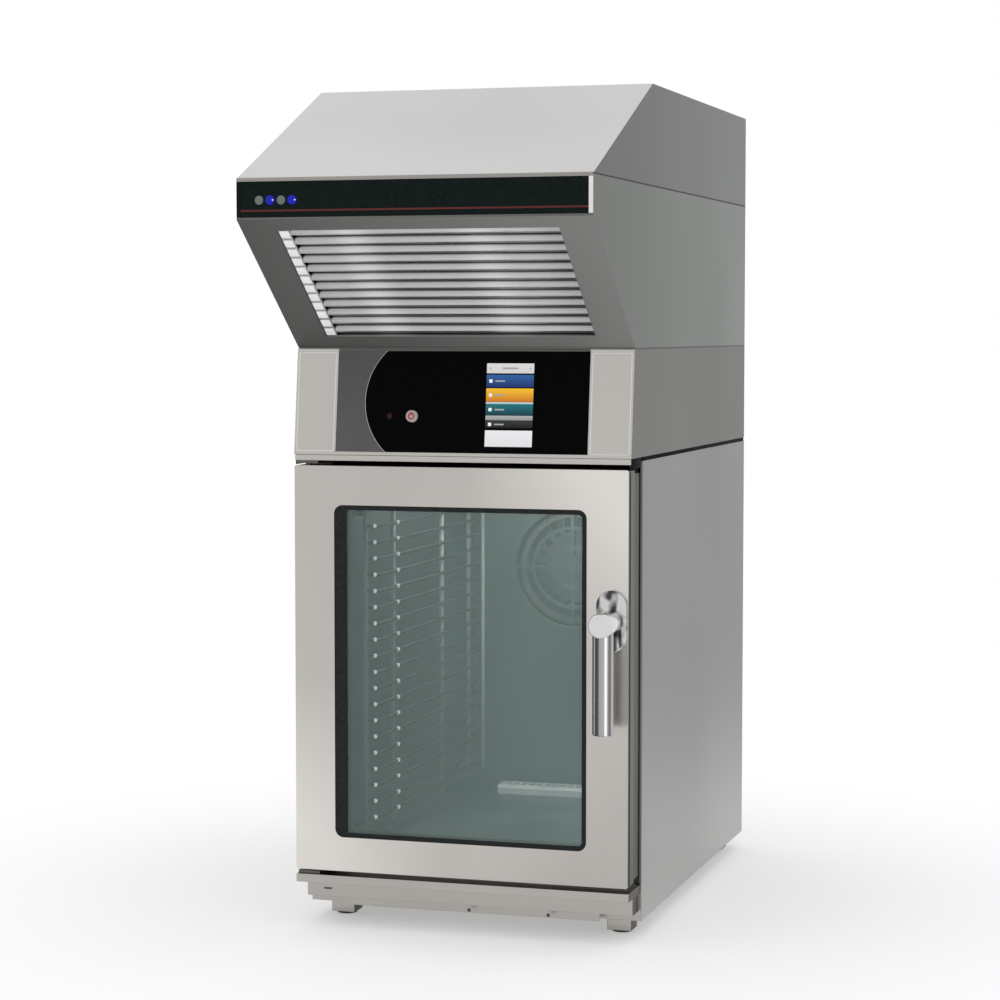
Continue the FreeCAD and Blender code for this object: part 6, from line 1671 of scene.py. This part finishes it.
world = bpy.data.worlds.new("studio")
scene.world = world
world.use_nodes = True
background = world.node_tree.nodes["Background"]
direction = add_node(world, "ShaderNodeTexCoord")
parts = add_node(world, "ShaderNodeSeparateXYZ")
join(world, direction.outputs["Generated"], parts.inputs["Vector"])
from_front = spread(world, parts.outputs["Y"], FRONT_END, BACK_END, FRONT_LIGHT, BACK_LIGHT)
from_above = spread(world, parts.outputs["Z"], TOP_START, TOP_END, 0.0, TOP_LIGHT)
strength = add_node(world, "ShaderNodeMix", data_type="FLOAT")
strength.inputs["B"].default_value = 1.0
join(world, seen_directly(world), strength.inputs["Factor"])
join(world, calculated(world, "ADD", from_front, from_above), strength.inputs["A"])
join(world, strength.outputs["Result"], background.inputs["Strength"])
background.inputs["Color"].default_value = (1.0, 1.0, 1.0, 1.0)
print("room light", FRONT_LIGHT, "in front and", BACK_LIGHT, "behind")

# %% [markdown]
# ## The floor
# The floor is pale and keeps a soft shadow near the oven. Further out it fades to plain white, so that no
# horizon shows. The fade is by the distance from the middle, and only for what the camera and mirrors see.

# %% Floor
FLOOR_HALF = 60.0
FADE_START, FADE_END = 0.35, 1.3
FADE_FIRST = 0.35
FLOOR_DROP = 0.2 * MM
FLOOR_TONE, FLOOR_ROUGH = (0.86, 0.86, 0.86, 1.0), 0.9
floor_shape = bmesh.new()
bmesh.ops.create_grid(floor_shape, x_segments=1, y_segments=1, size=FLOOR_HALF)
floor_mesh = bpy.data.meshes.new("floor")
floor_shape.to_mesh(floor_mesh)
floor_shape.free()
floor = bpy.data.objects.new("floor", floor_mesh)
floor.location = (0.0, 0.0, measured_box[0][2] - FLOOR_DROP)
scene.collection.objects.link(floor)
pale, pale_shader = start_finish("pale_floor")
pale_shader.inputs["Base Color"].default_value = FLOOR_TONE
pale_shader.inputs["Roughness"].default_value = FLOOR_ROUGH
white = add_node(pale, "ShaderNodeEmission")
white.inputs["Strength"].default_value = 1.0
where = add_node(pale, "ShaderNodeTexCoord")
distance = add_node(pale, "ShaderNodeVectorMath", operation="LENGTH")
join(pale, where.outputs["Object"], distance.inputs[0])
fade = add_node(pale, "ShaderNodeMapRange", interpolation_type="SMOOTHSTEP")
fade.inputs["From Min"].default_value = FADE_START
fade.inputs["From Max"].default_value = FADE_END
fade.inputs["To Min"].default_value = FADE_FIRST
join(pale, distance.outputs["Value"], fade.inputs["Value"])
mixed = add_node(pale, "ShaderNodeMixShader")
join(pale, calculated(pale, "MULTIPLY", seen_directly(pale), fade.outputs["Result"]), mixed.inputs["Fac"])
join(pale, pale_shader.outputs["BSDF"], mixed.inputs[1])
join(pale, white.outputs["Emission"], mixed.inputs[2])
join(pale, mixed.outputs["Shader"], pale.node_tree.nodes["Material Output"].inputs["Surface"])
floor_mesh.materials.append(pale)
print("floor is white from", FADE_END, "m")

# %% [markdown]
# ## Lamps
# Two large soft lamps stand for the studio's softboxes, one at the front left and one overhead. A mirror adds
# their light to that of the white room behind them, so they are large and weak, and no sheet turns plain
# white. A small lamp under the roof of the oven stands for the oven light, and shows the racks through the
# panes.

# %% Lamps
OVEN_MIDDLE = (0.0, 0.0, 0.6)
OVEN_LIGHT_DROP = 12 * MM


def softbox(name, place, target, size, power):
    """A rectangular area lamp that faces a point."""
    data = bpy.data.lights.new(name, "AREA")
    data.shape = "RECTANGLE"
    data.size, data.size_y = size
    data.energy = power
    lamp = bpy.data.objects.new(name, data)
    lamp.location = place
    lamp.rotation_euler = (Vector(target) - Vector(place)).to_track_quat("-Z", "Y").to_euler()
    scene.collection.objects.link(lamp)
    print(name, power, "W")


softbox("key", (-2.6, -2.4, 3.4), OVEN_MIDDLE, (2.7, 2.7), 5.0)
softbox("overhead", (0.3, -0.6, 3.4), OVEN_MIDDLE, (2.3, 2.3), 3.5)
softbox("oven_light", (0.0, 0.05, oven_roof - OVEN_LIGHT_DROP), (0.0, 0.06, 0.0), (0.24, 0.34), 1.9)

# %% [markdown]
# ## The view transform
# The picture is shown with the standard view transform.

# %% Finish
scene.view_settings.view_transform = "Standard"
